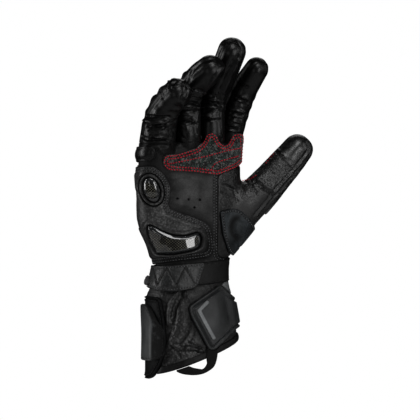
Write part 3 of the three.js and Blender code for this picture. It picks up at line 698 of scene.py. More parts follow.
# Folds drawn in the side view: height, half width, steepness, then the line's points. Plus stands
# out, minus is a crease. The line's right side falls away over the half width times the steepness.
FOLDS = {
    "ring_finger": (
        (2, 4.2, 0.4, (28, 253.9), (22.4, 247.5), (16, 239.5), (12.8, 234.7)),
        (1.2, 2.6, 0.5, (12.8, 233.1), (10, 226.7), (7.2, 221.9), (6.4, 215.6), (6, 207.7), (6.6, 196)),
        (-0.9, 2, 1, (0, 244.3), (2.4, 252.3), (11.2, 259.5), (20, 261.6), (26, 260)),
        (0.8, 1.4, 1, (28.8, 261.6), (30.4, 257.9), (28.8, 254.7)),
        (-1.2, 1.6, 1, (-2, 233.6), (3.5, 235.6), (9.6, 234)),
        (1.1, 2.2, 0.6, (-1, 229.4), (4.5, 230.6), (9.6, 228.8)),
        (-1.8, 1.9, 1, (-4.8, 223.7), (2.1, 224), (9.2, 222.3)),
        (1.7, 2.6, 0.5, (-6.3, 220.9), (0.7, 221.3), (7.7, 219.9)),
        (-1.6, 1.6, 1, (-9.2, 217), (-2.1, 216.7), (6.3, 216.7)),
        (-1.2, 1.5, 1, (-10.6, 213.8), (-4.2, 212.4), (2.1, 210.7)),
        (1.4, 2.4, 0.5, (-7.7, 211.2), (-2.1, 210.4), (3.5, 208)),
        (-1.5, 1.5, 1, (-8.5, 208.6), (-2.1, 207), (5.6, 206)),
        (0.8, 2.6, 0.6, (-7.7, 204), (-3.5, 203.3), (-2.1, 200)),
        (-0.8, 1.8, 1, (-9.2, 199.8), (-7.7, 195.5), (-3.5, 192)),
        (-1.5, 2, 1, (-14.4, 204), (-14.1, 197.6), (-13.4, 189.9)),
    ),
    "little_finger": (
        (1.2, 1.5, 1, (-16.4, 238.7), (-15, 243), (-11.2, 245.6), (-8, 246), (-4.6, 244.6), (-4.8, 241.9),
         (-8.8, 238.7), (-13.6, 236.3), (-16.4, 238.7)),
        (-1, 2.2, 1, (-13, 240.2), (-8.6, 242.8)),
        (1.6, 1.5, 0.7, (-18.4, 247), (-17.8, 241), (-18.6, 235.5)),
        (1.6, 2.6, 0.4, (-3.2, 240.5), (-0.4, 235.6), (-2.4, 229.9), (-5.6, 223.5), (-7.2, 217.1)),
        (-0.8, 1.2, 1, (-5.5, 238), (-5, 232), (-7.6, 226)),
        (-0.7, 1.4, 1, (-26.4, 236.4), (-24, 231), (-22.4, 226.8)),
        (0.6, 1.6, 0.5, (-22, 238), (-19, 234.6), (-15.6, 232.4)),
        (-1.8, 2.2, 1, (-43, 213.5), (-38.7, 212.8), (-29.6, 211.4), (-17.6, 211)),
        (2, 3.2, 0.45, (-39.9, 208.6), (-31.4, 206.2), (-22.2, 206.8), (-19, 208)),
        (-1.6, 1.8, 1, (-36.5, 203.6), (-28.5, 202.8), (-20.8, 204.4)),
        (1.2, 1.5, 0.7, (-35.9, 199.8), (-30.5, 198), (-26.6, 199.6), (-22, 202)),
        (1, 1.3, 0.7, (-32.4, 194.8), (-23.2, 192.8)),
        (1, 1.3, 0.7, (-26.8, 198.6), (-19, 196.7)),
        (-1.2, 1.5, 1, (-22.5, 204.7), (-17.6, 199.8), (-16.2, 194.1)),
        (-1.9, 2.6, 1, (-45, 197.5), (-40, 193.6), (-36, 192), (-27, 191.6), (-20, 191.2)),
    ),
    "middle_finger": (
        (-0.9, 1.3, 1, (22.6, 259), (24.6, 267.3), (29, 275.4), (36.1, 278.6), (42.2, 276.4), (44.8, 271.6),
         (44, 264)),
        (1.9, 3.4, 0.5, (42.2, 261.4), (36.4, 249.9), (32.2, 241.1), (29, 231.5), (27.4, 222)),
        (1.4, 2.4, 0.6, (27.4, 222), (26.6, 212.4), (27.4, 197)),
        (-1.1, 1.6, 1, (38.6, 262), (32.2, 250.5), (28, 241), (24.9, 231), (23.6, 223)),
        (1.1, 1.9, 0.6, (19.7, 232.8), (24.6, 232.1)),
        (1.1, 1.9, 0.6, (16.3, 227.9), (24.3, 226.2)),
        (-1.4, 1.6, 1, (13, 225), (19, 224.6), (24.3, 223.6)),
        (1.7, 2.4, 0.5, (12.1, 221.4), (23.2, 220.6)),
        (-1.6, 1.7, 1, (12.8, 217.4), (19, 217.4), (25, 219.2)),
        (1.4, 2.2, 0.5, (10.9, 214.5), (18.3, 211.8)),
        (-1.4, 1.6, 1, (10.4, 210.6), (14.8, 209.8), (23.2, 210.2)),
    ),
    "index_finger": (
        (-1.2, 1.4, 1, (43, 241.4), (50.7, 238.8)),
        (1, 1.6, 0.6, (44.4, 230.7), (52.1, 227.9)),
        (1.1, 1.6, 0.6, (40.8, 227.6), (51.4, 223.7)),
        (-1.2, 1.3, 1, (40.8, 229.6), (50.4, 226)),
        (1.8, 2.4, 0.5, (35.2, 219.5), (47.2, 217)),
        (-1.5, 1.5, 1, (35.9, 216.3), (45.8, 214.5)),
        (-1.4, 1.5, 1, (35.2, 212.4), (44.4, 210.7)),
        (1.9, 2.6, 0.5, (33.8, 208.3), (38.7, 209), (45.1, 207.2)),
        (-1.6, 1.7, 1, (32, 204.3), (42.2, 202.9)),
        (1.3, 2.2, 0.6, (34.5, 201), (42.5, 200)),
    ),
    "thumb": (
        (0.6, 1.4, 0.5, (77.4, 184.9), (84.7, 177.6), (92.8, 168.7)),
        (-0.9, 0.9, 1, *THUMB_TIP_SEAM),
        (0.6, 1, 1, (109.4, 181.6), (104.8, 174.3), (94.2, 162.2), (89.6, 156.8), (77.4, 143.2),
         (67.6, 130.8), (60, 121.6)),
        (-0.9, 0.8, 1, *THUMB_SIDE_SEAM),
        (0.8, 1, 1, *moved(THUMB_SIDE_SEAM, 1.4)),
        (-0.7, 0.8, 1, *moved(THUMB_SIDE_SEAM, 2.8)),
        (-1.5, 2, 1, (57.1, 155.9), (65.9, 149.7), (73.9, 143.6)),
        (0.9, 2.6, 0.5, (59.4, 159), (65.9, 152.9), (74, 147)),
        (-0.6, 1.4, 1, (70.8, 165.3), (75.6, 160.4), (78.9, 158.8)),
        (-0.7, 1.6, 1, (80.5, 176.2), (84.5, 170.7), (86, 165.3)),
        (-1.1, 1.6, 1, (53, 158.8), (54.6, 152.3), (59.4, 145.8)),
        (-1, 1.6, 1, (46.5, 158.8), (52.2, 153.9), (54.6, 147.5)),
        (-0.9, 1.5, 1, (27.9, 153.9), (38.4, 149.1), (41.6, 139)),
        (-0.8, 1.4, 1, (28.7, 145.8), (35.1, 141), (38.4, 136.1)),
    ),
    "palm": (
        (-1.7, 2.6, 1, (-46, 188.4), (-36.1, 186.6), (-27, 187.8), (-20, 186.8)),
        (-1, 2.2, 1, (-15.6, 188.8), (-15, 181), (-12, 176)),
        (0.9, 4, 0.5, (-26, 183), (-20, 178), (-17, 174.5)),
        (-0.7, 2.4, 1, (-13.4, 155.7), (-7.7, 157.9), (-0.7, 158.6)),
        (0.7, 4, 1, (-12, 150), (-2, 153.5), (6, 152)),
        (-0.9, 3.6, 1, (-14, 134.4), (-4, 131.5), (10.6, 126)),
        (0.8, 5, 1, (8, 156), (7, 147), (8, 138)),
    ),
    "cuff": (
        (2.6, 3.8, 0.6, (-17.6, 33), (-17.6, 41.7), (-15.2, 49.7), (-9.6, 59.2)),
        (2, 2.8, 0.6, (0.4, 40.3), (-0.7, 48.7), (-4.2, 59.9)),
        (-1.8, 3.4, 1, (-7.4, 58.9), (-11.9, 48), (-13.8, 38.9)),
        (-1.4, 2.8, 1, (-2.1, 57.9), (2.1, 50.1), (2.8, 38.9)),
        (3, 9, 1, (-7.2, 42.7), (-7.3, 30.4), (-12.6, 15.8)),
        (-2.2, 4.6, 1, (2.6, 42.3), (4.6, 31.5), (1, 21), (-6, 14.5)),
        (-1.6, 2, 1, (-11.6, 13.9), (0.7, 14.6), (10.6, 10.7)),
        (1.4, 2.6, 0.6, (12.6, 8), (2.1, 11), (-8.7, 10.7)),
        (-1.2, 1.6, 1, (-7.2, 7.6), (4.9, 7.8), (13.4, 5.4)),
        (-1.5, 2.2, 1, (-16.8, 12.1), (-12, 8.3), (-9.2, 3.7)),
    ),
}
FOLDS["back"] = FOLDS["palm"]


def drawn_folds(skin, node):
    """How far the drawn folds lift a skin, on the side turned to the side view."""
    u, v, _ = seen(skin["p"])
    total = np.zeros(len(u))
    for height, half_width, steepness, *line in FOLDS[node]:
        off, right = line_distance(u, v, line)
        total += height * bump(off / np.where(right, half_width * steepness, half_width))
    return total * smoothstep(skin["n"] @ TOWARDS, 0.02, 0.35)


# Where the side seams run along a finger, round from the thumb's side, and their roll and furrow:
# the distance from the seam, the half width and the height
SEAM_ANGLES = (-8, -172)
SEAM_PROFILE = [(0.4, 1.2, 0.3), (2.1, 1.0, -0.25)]


def finger_skin(name, spacing, sides):
    rings, along = finger_rings(name, spacing, sides)
    count = len(rings)
    tip = rings[-1].mean(0) + LINES[name]["heading"][-1] * 0.12
    points = np.vstack([rings.reshape(-1, 3), tip])
    i = np.arange(sides)
    start = (count - 1) * sides
    cap = np.stack([np.full(sides, len(points) - 1), start + i, start + (i + 1) % sides], 1)
    skin = make_skin(points, np.vstack([grid_triangles(count, sides), cap]))
    angle = np.degrees(i / sides * 2 * np.pi)
    skin["f"]["along"] = np.append(np.repeat(along, sides), along[-1] + 1)
    skin["f"]["angle"] = np.append(np.tile(angle, count), 0)
    return skin


def finger_lift(name, skin):
    """Ribs on the back of the middle joint, creases inside it, side seams and soft wrinkles."""
    along, angle = skin["f"]["along"], np.radians(skin["f"]["angle"])
    c, s = rounded(angle)
    wobble = 0.9 * np.sin(3 * angle + along * 0.11) + 0.6 * np.sin(5 * angle - along * 0.23)
    from_knuckle = along - KNUCKLES[name] + wobble * 0.6
    rib = lambda side: eased(from_knuckle, *([row[key] for row in RIBS] for key in ("from_knuckle", side)))
    lift = np.where(s > 0, rib("back") * smoothstep(s, 0.4, 0.9), rib("palm") * 0.5 * np.abs(s))
    end = LINES[name]["along"][-1]
    radius = LINES[name]["width"].mean()
    for seam in SEAM_ANGLES:
        off = np.abs((skin["f"]["angle"] - seam + 540) % 360 - 180) * np.pi / 180 * radius
        run = smoothstep(along, 18, 30) * (1 - smoothstep(along, end + 7, end + 11))
        lift = lift + run * sum(h * bump((off - at) / half) for at, half, h in SEAM_PROFILE)
    laid_flat = np.stack([c * radius * 0.45, s * radius * 0.45, along], 1)
    soft = crumple(laid_flat, 6.5, sum(map(ord, name))) * smoothstep(-s, -0.3, 0.5)
    soft *= 1 - smoothstep(along, end - 26, end - 12)
    return lift + 0.15 * soft + drawn_folds(skin, name)


# Regions: functions of points that are above 0 inside.


def inside(points, radius=3.0, grow=0.0):
    outline = round_corners(points, radius) if radius else np.array(points)
    return lambda p: inside_distance(p, outline) + grow


def beyond(y):
    return lambda p: p[:, 1] - y


def before(y):
    return lambda p: y - p[:, 1]


def above(z):
    return lambda p: p[:, 2] - z


def below(z):
    return lambda p: z - p[:, 2]


def nearer(depth):
    return lambda p: p @ TOWARDS - depth


HEM_COS = math.cos(math.atan(HEM_SLOPE))


def above_hem(lift=0.0):
    return lambda p: (p[:, 2] - HEM_Z - lift - HEM_SLOPE * p[:, 0]) * HEM_COS


def strap_height(p):
    turn = math.radians(STRAP_SLOPE_DEG)
    return p[:, 2] * math.cos(turn) - p[:, 0] * math.sin(turn)


def strap_band(low, high):
    return lambda p: np.minimum(strap_height(p) - low, high - strap_height(p))


def both(*regions):
    return lambda p: np.minimum.reduce([region(p) for region in regions])


def either(*regions):
    return lambda p: np.maximum.reduce([region(p) for region in regions])


def outside(*regions):
    return lambda p: -both(*regions)(p)


WEB_DEPTH, WEB_GAP = 12, 0.7


def finger_roots(p):
    """Above 0 below the finger seams, and on the webs between the fingers."""
    field = FINGER_SEAM_Z - GAP / 2 - p[:, 2]
    high = p[:, 2] > FINGER_SEAM_Z - WEB_DEPTH
    near = np.minimum.reduce([tube_distance(p[high], name) for name in KNUCKLES])
    field[high] = np.maximum(field[high], near - WEB_GAP)
    return field


def raised(skin, height):
    return skin["p"] + skin["n"] * height


def trimmed(skin, height, *regions):
    """A skin cut by regions as they are at a height off it."""
    q = raised(skin, height)
    return cut(skin, [region(q) for region in regions])


# Edges and surfaces of the pieces


def edge_round(d, radius, depth):
    """A rounded border: how far the surface drops near the edge."""
    x = np.clip(1 - d / radius, 0, 1)
    return depth * (np.sqrt(1 - x * x * 0.98) - 1)


def groove(d, at, half_width, depth):
    return -depth * bump((d - at) / half_width)


SEWN_HALF_WIDTH = 1.1


def sewn(d, *rows):
    """1 along the sewn rows at some distances from an edge, where the leather is dark."""
    return sum(bump((d - at) / SEWN_HALF_WIDTH) for at in rows)


def dress(name, node, points, faces, material, slot, sharp_deg=SHARP_DEG, **columns):
    """A piece of the visible skin in its place, standing for a node of the frame."""
    piece = mesh_object(name, points, faces, material, sharp_deg=sharp_deg)
    for key, column in columns.items():
        values = piece.data.attributes.new(key, "FLOAT", "POINT")
        values.data.foreach_set("value", np.asarray(column, np.float32))
    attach(piece, "root")
    if node:
        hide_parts(node)
    return piece


SHEETS = {}


def panel(node, skin, height, areas, top, bottom, material, slot, levels=(), sharp_deg=SHARP_DEG):
    """A sheet cut from a skin, from a bottom height to a top height off it.

    The areas, and the outlines that top reads at q, hold at the given height."""
    sheet = fine(trimmed(skin, height, *areas), "edge", *levels)
    sheet["q"] = raised(sheet, height)
    d = sheet["f"]["edge"]
    sheet["f"]["top"] = top(sheet, d)
    points, faces = closed_sheet(sheet, sheet["f"]["top"], bottom)
    columns = {key: np.tile(sheet["f"].get(key, 0 * d), 2) for key in ("edge", "channel", "polish")}
    SHEETS[node] = sheet
    return dress(f"{node}_skin", node, points, faces, material, slot, sharp_deg, **columns)


# Stitching


def iso_lines(skin, name, level):
    """Chains of places and normals along a level of a named value."""
    value = skin["f"][name] - level
    value = np.where(np.abs(value) < 1e-4, 1e-4, value)
    tris = skin["t"]
    crossing = (value[tris] > 0).any(1) & (value[tris] < 0).any(1)
    links = {}
    for tri in tris[crossing]:
        keys = []
        for a, b in ((tri[0], tri[1]), (tri[1], tri[2]), (tri[2], tri[0])):
            if (value[a] > 0) != (value[b] > 0):
                keys.append((min(a, b), max(a, b)))
        links.setdefault(keys[0], []).append(keys[1])
        links.setdefault(keys[1], []).append(keys[0])
    lifted = skin["p"] + skin["n"] * skin["f"]["top"][:, None]
    chains = []
    while links:
        start = next((key for key, near in links.items() if len(near) == 1), next(iter(links)))
        chain = [start]
        while True:
            near = links.pop(chain[-1], [])
            for key in near:
                if key in links:
                    links[key].remove(chain[-1])
            near = [key for key in near if key in links]
            if not near:
                break
            chain.append(near[0])
        if len(chain) > 4:
            keys = np.array(chain)
            a, b = keys[:, 0], keys[:, 1]
            t = (value[a] / (value[a] - value[b]))[:, None]
            chains.append([x[a] * (1 - t) + x[b] * t for x in (lifted, skin["n"])])
    return chains


LAID_SPACING, LAID_NEAREST = 0.8, 5


def laid_line(skin, line):
    """A line of the side view laid on the front of a skin: places and normals."""
    line = np.array(line, float)
    step = np.linalg.norm(np.diff(line, axis=0), axis=1)
    along = np.concatenate([[0], np.cumsum(step)])
    at = np.linspace(0, along[-1], max(int(along[-1] / LAID_SPACING), 4))
    u, v = np.interp(at, along, line[:, 0]), np.interp(at, along, line[:, 1])
    front = skin["n"] @ TOWARDS > 0.05
    p = (skin["p"] + skin["n"] * skin["f"]["top"][:, None])[front]
    n = skin["n"][front]
    pu, pv, pw = seen(p)
    places, normals = [], []
    for a, b in zip(u, v):
        off = np.hypot(pu - a, pv - b)
        near = np.argpartition(off, LAID_NEAREST)[:LAID_NEAREST]
        weight = 1 / (off[near] + 0.05) ** 2
        weight /= weight.sum()
        depth = pw[near] @ weight
        places.append(RIGHT * a + TOWARDS * depth + np.array([0, 0, b]))
        normals.append(weight @ n[near])
    return np.array(places), np.array(normals)


STITCH_SIDES, STITCH_LIFT, STITCH_FLATNESS = 6, 0.12, 0.7
STITCH_FULL = 0.55  # the share of its length over which a thread has its full thickness


def stitch_mesh(chains, pitch, length, width):
    """Short threads laid along chains of places, as one mesh."""
    points, faces, count = [], [], 0
    half = length / 2
    around = np.linspace(0, 2 * np.pi, STITCH_SIDES, endpoint=False)
    for places, normals in chains:
        step = np.linalg.norm(np.diff(places, axis=0), axis=1)
        along = np.concatenate([[0], np.cumsum(step)])
        total = along[-1]
        if total < pitch:
            continue
        stitches = int(total / pitch)
        for k in range(stitches):
            middle = (k + 0.5) * total / stitches
            at = lambda spot, rows: np.array([np.interp(spot, along, column) for column in rows.T])
            ends = at(middle - half, places), at(middle + half, places)
            normal = at(middle, normals)
            normal /= np.linalg.norm(normal)
            way = ends[1] - ends[0]
            way /= max(np.linalg.norm(way), 1e-9)
            aside = np.cross(normal, way)
            centre = (ends[0] + ends[1]) / 2 + normal * STITCH_LIFT
            ring = aside * np.cos(around)[:, None] * width
            ring = ring + normal * np.sin(around)[:, None] * width * STITCH_FLATNESS
            full = way * half * STITCH_FULL
            points += [centre - full + ring, centre + full + ring]
            low = centre - normal * STITCH_LIFT
            points += [[low - way * half], [low + way * half]]
            for i in range(STITCH_SIDES):
                j = (i + 1) % STITCH_SIDES
                a, b = count + i, count + j
                c, d = a + STITCH_SIDES, b + STITCH_SIDES
                e, f = count + 2 * STITCH_SIDES, count + 2 * STITCH_SIDES + 1
                faces += [(a, b, d), (a, d, c), (e, b, a), (f, c, d)]
            count += 2 * STITCH_SIDES + 2
    return np.vstack(points), np.array(faces)


# Materials


class Surface:
    """A material with its shader, and short calls to add nodes in front of it."""

    SOCKETS = {
        "color": "Base Color",
        "roughness": "Roughness",
        "normal": "Normal",
        "specular": "Specular IOR Level",
        "sheen": "Sheen Weight",
        "sheen_roughness": "Sheen Roughness",
        "coat": "Coat Weight",
        "coat_roughness": "Coat Roughness",
    }

    def __init__(self, name):
        self.material = bpy.data.materials.new(name)
        self.material.use_nodes = True
        self.tree = self.material.node_tree
        self.shader = self.tree.nodes["Principled BSDF"]
        self.place = self.add("ShaderNodeTexCoord").outputs["Object"]

    def add(self, kind, inputs=None, **settings):
        node = self.tree.nodes.new(kind)
        for key, value in settings.items():
            setattr(node, key, value)
        for key, value in (inputs or {}).items():
            self.give(node.inputs[key], value)
        return node

    def give(self, socket, value):
        if isinstance(value, bpy.types.NodeSocket):
            self.tree.links.new(value, socket)
        else:
            socket.default_value = value

    def math(self, operation, a, b=0.0, clamp=False):
        return self.add("ShaderNodeMath", {0: a, 1: b}, operation=operation, use_clamp=clamp).outputs[0]

    def times(self, a, b, clamp=False):
        return self.math("MULTIPLY", a, b, clamp)

    def plus(self, a, b, clamp=False):
        return self.math("ADD", a, b, clamp)

    def minus(self, a, b, clamp=False):
        return self.math("SUBTRACT", a, b, clamp)

    def ranged(self, value, low, high, to_low=0.0, to_high=1.0):
        inputs = {"Value": value, "From Min": low, "From Max": high, "To Min": to_low, "To Max": to_high}
        node = self.add("ShaderNodeMapRange", inputs, clamp=True, interpolation_type="SMOOTHSTEP")
        return node.outputs["Result"]

    def mixed(self, factor, a, b):
        return self.add("ShaderNodeMix", {0: factor, 6: a, 7: b}, data_type="RGBA").outputs[2]

    def noise(self, size_mm, detail=3.0, roughness=0.55):
        inputs = {"Vector": self.place, "Scale": 1000 / size_mm, "Detail": detail, "Roughness": roughness}
        return self.add("ShaderNodeTexNoise", inputs).outputs["Fac"]

    def pebbles(self, size_mm):
        inputs = {"Vector": self.place, "Scale": 1000 / size_mm}
        return self.add("ShaderNodeTexVoronoi", inputs, feature="SMOOTH_F1").outputs["Distance"]

    def specks(self, size_mm):
        """An even random value for each small cell."""
        inputs = {"Vector": self.place, "Scale": 1000 / size_mm}
        color = self.add("ShaderNodeTexVoronoi", inputs).outputs["Color"]
        return self.add("ShaderNodeSeparateColor", {"Color": color}).outputs["Red"]

    def axes(self, place=None):
        """The place along X and along Z."""
        place = self.place if place is None else place
        axes = self.add("ShaderNodeSeparateXYZ", {"Vector": place}).outputs
        return axes["X"], axes["Z"]

    def side_axes(self):
        """How far across and how far up in the side view."""
        inputs = {"Vector": self.place, "Rotation": (0, 0, TURN)}
        return self.axes(self.add("ShaderNodeMapping", inputs, vector_type="POINT").outputs["Vector"])

    def wave(self, value, length_mm):
        return self.math("SINE", self.times(value, 2000 * math.pi / length_mm))

    def bump(self, height, depth_mm, strength=1.0, normal=None):
        inputs = {"Height": height, "Distance": depth_mm / 1000, "Strength": strength}
        if normal:
            inputs["Normal"] = normal
        return self.add("ShaderNodeBump", inputs).outputs["Normal"]

    def attribute(self, name):
        return self.add("ShaderNodeAttribute", attribute_name=name).outputs["Fac"]

    def finish(self, **values):
        for key, value in values.items():
            self.give(self.shader.inputs[self.SOCKETS[key]], value)
        return self.material


def grey(value, cool=1.0):
    """A grey of a value, bluer as cool goes over 1."""
    return (value / cool**0.5, value, value * cool**0.3, 1)


PLAIN_SPECKLE = 0.35  # over this much speckle the grain's tops are pale
# The first is the tone of the dark sewn seams and of the shade painted beside laid-on pieces and in hollows
SEAM_AND_SHADE_TONE, FINGER_TONE = 0.001, 0.0028


def leather(
    name, dark, light, rough_low, rough_high, grain_mm, grain_depth, wrinkle, cool, specular, speckle,
    dark_above,
):
    """Pebbled and finely wrinkled leather with uneven tone and gloss.

    It is dark at the edge and where the points' value for dark seams and painted shade is high: along
    the sewn seams, and where shade is painted beside laid-on pieces, in hollows and on shaded slopes. Its
    grain fades where their polish value is high. Over 16 mm up to the height dark_above it turns as dark
    and glossy as the fingers."""
    s = Surface(name)
    pebbles = s.pebbles(grain_mm)
    pores = s.noise(grain_mm * 0.45, 2)
    creases = s.math("ABSOLUTE", s.minus(s.noise(5.0, 5, 0.6), 0.5))
    wrinkles = s.noise(3.2, 5, 0.65)
    blotches = s.noise(22, 4)
    channel = s.attribute("channel")
    polish = s.attribute("polish")
    grained = s.minus(1.0, polish, clamp=True)
    on_edge = s.minus(1.0, s.ranged(s.attribute("edge"), 0.0, 1.0))

    color = s.mixed(s.ranged(blotches, 0.3, 0.7), grey(dark, cool), grey(light, cool))
    tops = s.times(s.ranged(pebbles, 0.32, 0.12), max(speckle - PLAIN_SPECKLE, 0.0))
    color = s.mixed(s.times(tops, grained), color, grey(light * 3.2, cool))
    color = s.mixed(s.times(s.ranged(pebbles, 0.25, 0.6), speckle), color, grey(dark * 0.4, cool))
    color = s.mixed(on_edge, color, grey(dark * 0.25, cool))
    # dark sewn seams, and painted shade beside the pieces laid on top, in hollows and on shaded slopes
    color = s.mixed(s.times(channel, 0.97, clamp=True), color, grey(SEAM_AND_SHADE_TONE))
    worn = s.times(s.ranged(s.noise(9, 5, 0.7), 0.55, 0.75), 0.35)
    color = s.mixed(worn, color, grey(light * 1.5, cool))

    rough = s.ranged(s.noise(14, 5), 0.3, 0.7, rough_low, rough_high)
    rough = s.plus(rough, s.times(pores, 0.08), clamp=True)
    rough = s.plus(rough, s.times(channel, 0.3), clamp=True)
    rough = s.minus(rough, s.times(polish, 0.06), clamp=True)
    if dark_above:
        height = s.plus(s.axes()[1], s.times(blotches, 0.006))
        turned = s.ranged(height, (dark_above - 16) / 1000, dark_above / 1000)
        color = s.mixed(turned, color, grey(FINGER_TONE))
        rough = s.minus(rough, s.times(turned, rough_low - 0.3), clamp=True)

    normal = s.bump(s.plus(s.times(creases, 2.0), wrinkles), wrinkle, 0.8)
    grain = s.times(s.plus(pebbles, s.times(pores, 0.4)), grained)
    normal = s.bump(grain, grain_depth, 0.7, normal)
    return s.finish(color=color, roughness=rough, normal=normal, specular=specular)


def woven_patch(name):
    """Coarse abrasion-resistant weave: crossed threads flecked in greys and greens."""
    s = Surface(name)
    across, up = s.side_axes()
    weave = s.times(s.wave(across, 1.5), s.wave(up, 1.5))
    flecks = s.specks(1.25)
    color = s.mixed(s.ranged(flecks, 0.45, 1.0), (0.002, 0.0025, 0.0025, 1), (0.078, 0.078, 0.075, 1))
    color = s.mixed(s.ranged(s.specks(1.9), 0.5, 0.9, 0, 0.7), color, (0.01, 0.024, 0.02, 1))
    color = s.mixed(s.ranged(weave, -0.2, -0.9, 0, 0.6), color, grey(0.003))
    normal = s.bump(s.plus(weave, s.times(flecks, 1.6)), 0.22, 0.9)
    sheen = {"sheen": 0.1, "sheen_roughness": 0.5}
    return s.finish(color=color, roughness=0.82, normal=normal, specular=0.2, **sheen)


def carbon(name):
    """Glossy carbon: flat tows crossing over and under in a fine lattice, under lacquer."""
    s = Surface(name)
    across, up = s.side_axes()
    lattice = s.times(s.wave(across, 2.6), s.wave(up, 2.3))
    over = s.ranged(lattice, 0.1, 0.85)
    past_rim = s.ranged(s.attribute("edge"), 3.2, 3.5)
    color = s.mixed(over, grey(0.0008), (0.105, 0.1, 0.073, 1))
    color = s.mixed(s.ranged(s.noise(7, 3), 0.35, 0.65, 0, 0.65), color, grey(0.003))
    color = s.mixed(s.times(s.noise(0.5, 2, 0.6), 0.35), color, grey(0.004))
    color = s.mixed(past_rim, (0.008, 0.0085, 0.009, 1), color)
    rough = s.ranged(over, 0, 1, 0.5, 0.4)
    normal = s.bump(s.times(lattice, past_rim), 0.1, 0.5)
    lacquer = {"coat": 1.0, "coat_roughness": 0.03}
    return s.finish(color=color, roughness=rough, normal=normal, specular=0.15, **lacquer)


def thread(name, *color):
    s = Surface(name)
    fuzz = s.noise(0.6, 3)
    dark = tuple(c * 0.45 for c in color)
    color = s.mixed(s.ranged(fuzz, 0.35, 0.65), dark + (1,), color + (1,))
    return s.finish(color=color, roughness=0.6, specular=0.25, normal=s.bump(fuzz, 0.1))


def webbing(name):
    """Flat band of black yarn: ribs across it and a slight fuzz."""
    s = Surface(name)
    x, z = s.axes()
    ribs = s.wave(s.plus(z, s.times(x, 0.6)), 1.3)
    fuzz = s.noise(0.7, 4, 0.7)
    color = s.mixed(s.ranged(ribs, -1, 1), grey(0.002), grey(0.007))
    color = s.mixed(s.ranged(fuzz, 0.5, 0.8, 0, 0.5), color, grey(0.014))
    normal = s.bump(s.plus(ribs, fuzz), 0.15, 0.8)
    return s.finish(color=color, roughness=0.85, specular=0.1, normal=normal, sheen=0.04)


def rubber(name):
    s = Surface(name)
    color = s.mixed(s.ranged(s.noise(6, 4), 0.4, 0.7), (0.012, 0.012, 0.013, 1), (0.028, 0.028, 0.03, 1))
    return s.finish(color=color, roughness=0.55, specular=0.35, normal=s.bump(s.noise(0.5, 3), 0.06))


# Each leather's two tones, its roughness from and to, and its grain
LEATHERS = table(
    "name dark light rough_low rough_high grain_mm grain_depth wrinkle cool specular speckle dark_above",
    ("smooth leather", 0.007, 0.014, 0.32, 0.44, 1.4, 0.22, 0.05, 1.0, 0.5, 0.35, None),
    ("thumb leather", 0.005, 0.0155, 0.3, 0.42, 2.0, 0.8, 0.06, 1.0, 0.36, 0.8, None),
    ("tab leather", 0.005, 0.013, 0.36, 0.48, 1.7, 0.4, 0.04, 1.1, 0.4, 0.7, None),
    ("finger leather", 0.0012, 0.0022, 0.27, 0.37, 1.0, 0.08, 0.03, 1.0, 0.23, 0.35, None),
    ("grained leather", 0.004, 0.015, 0.32, 0.44, 2.1, 1.0, 0.05, 1.0, 0.35, 0.85, None),
    ("back leather", 0.005, 0.012, 0.32, 0.44, 1.8, 0.6, 0.05, 1.0, 0.35, 0.42, None),
    ("palm leather", 0.015, 0.04, 0.44, 0.58, 0.9, 0.05, 0.06, 1.0, 0.13, 0.35, 180),
    ("padded leather", 0.018, 0.046, 0.3, 0.4, 1.6, 0.25, 0.06, 1.0, 0.14, 0.55, None),
    ("thumb patch leather", 0.006, 0.028, 0.36, 0.48, 0.8, 0.02, 0.1, 1.35, 0.15, 0.35, None),
    ("flap leather", 0.011, 0.02, 0.4, 0.5, 0.7, 0.015, 0.04, 1.1, 0.25, 0.35, None),
    ("guard leather", 0.03, 0.055, 0.36, 0.48, 0.7, 0.015, 0.05, 1.1, 0.2, 0.35, None),
    ("overlap leather", 0.003, 0.005, 0.42, 0.56, 1.0, 0.06, 0.1, 1.15, 0.06, 0.35, None),
    ("strap leather", 0.0025, 0.005, 0.42, 0.55, 0.8, 0.04, 0.08, 1.0, 0.15, 0.35, None),
    ("grey trim", 0.066, 0.094, 0.5, 0.65, 0.8, 0.03, 0.05, 1.08, 0.5, 0.35, None),
)
LEATHER = {row["name"]: leather(**row) for row in LEATHERS}
WEAVE = woven_patch("grip weave")
CARBON = carbon("carbon twill")
WEBBING = webbing("loop webbing")
RUBBER = rubber("moulded rubber")
BLACK_THREAD = thread("black thread", 0.004, 0.004, 0.004)
GREY_THREAD = thread("grey thread", 0.09, 0.092, 0.095)
RED_THREAD = thread("red thread", 0.3, 0.004, 0.016)


# The pieces. A function named top gives the height of a piece's outer side in millimetres, where d is
# the distance in from its edge.

SKIN = hand_skin()
EDGE_LEVELS = (0.35, 1.2)  # distances from the edge at which a piece gets a row of points
PUFFED_LEVELS = (0.4, 1.0, 1.8)
PALM_HEIGHT = 3.2
LAYER, PAD, STRAP, GUARD, FLAP, FLAP_EDGE = 1.6, 3.0, 2.4, 5.0, 4.4, 3.0
HEM_HEIGHT, HEM_THICKNESS = 6.0, 1.3
TAB_TOP = STRAP + LAYER + GAP
HEEL_DEPTH, DISC_DEPTH = -6, 16  # how near the eye the heel's pad and the oval slider start
SIDE_GUARD_Y, THUMB_GUARD_Y, OVERLAP_TOP_Z = 5, -14, 60

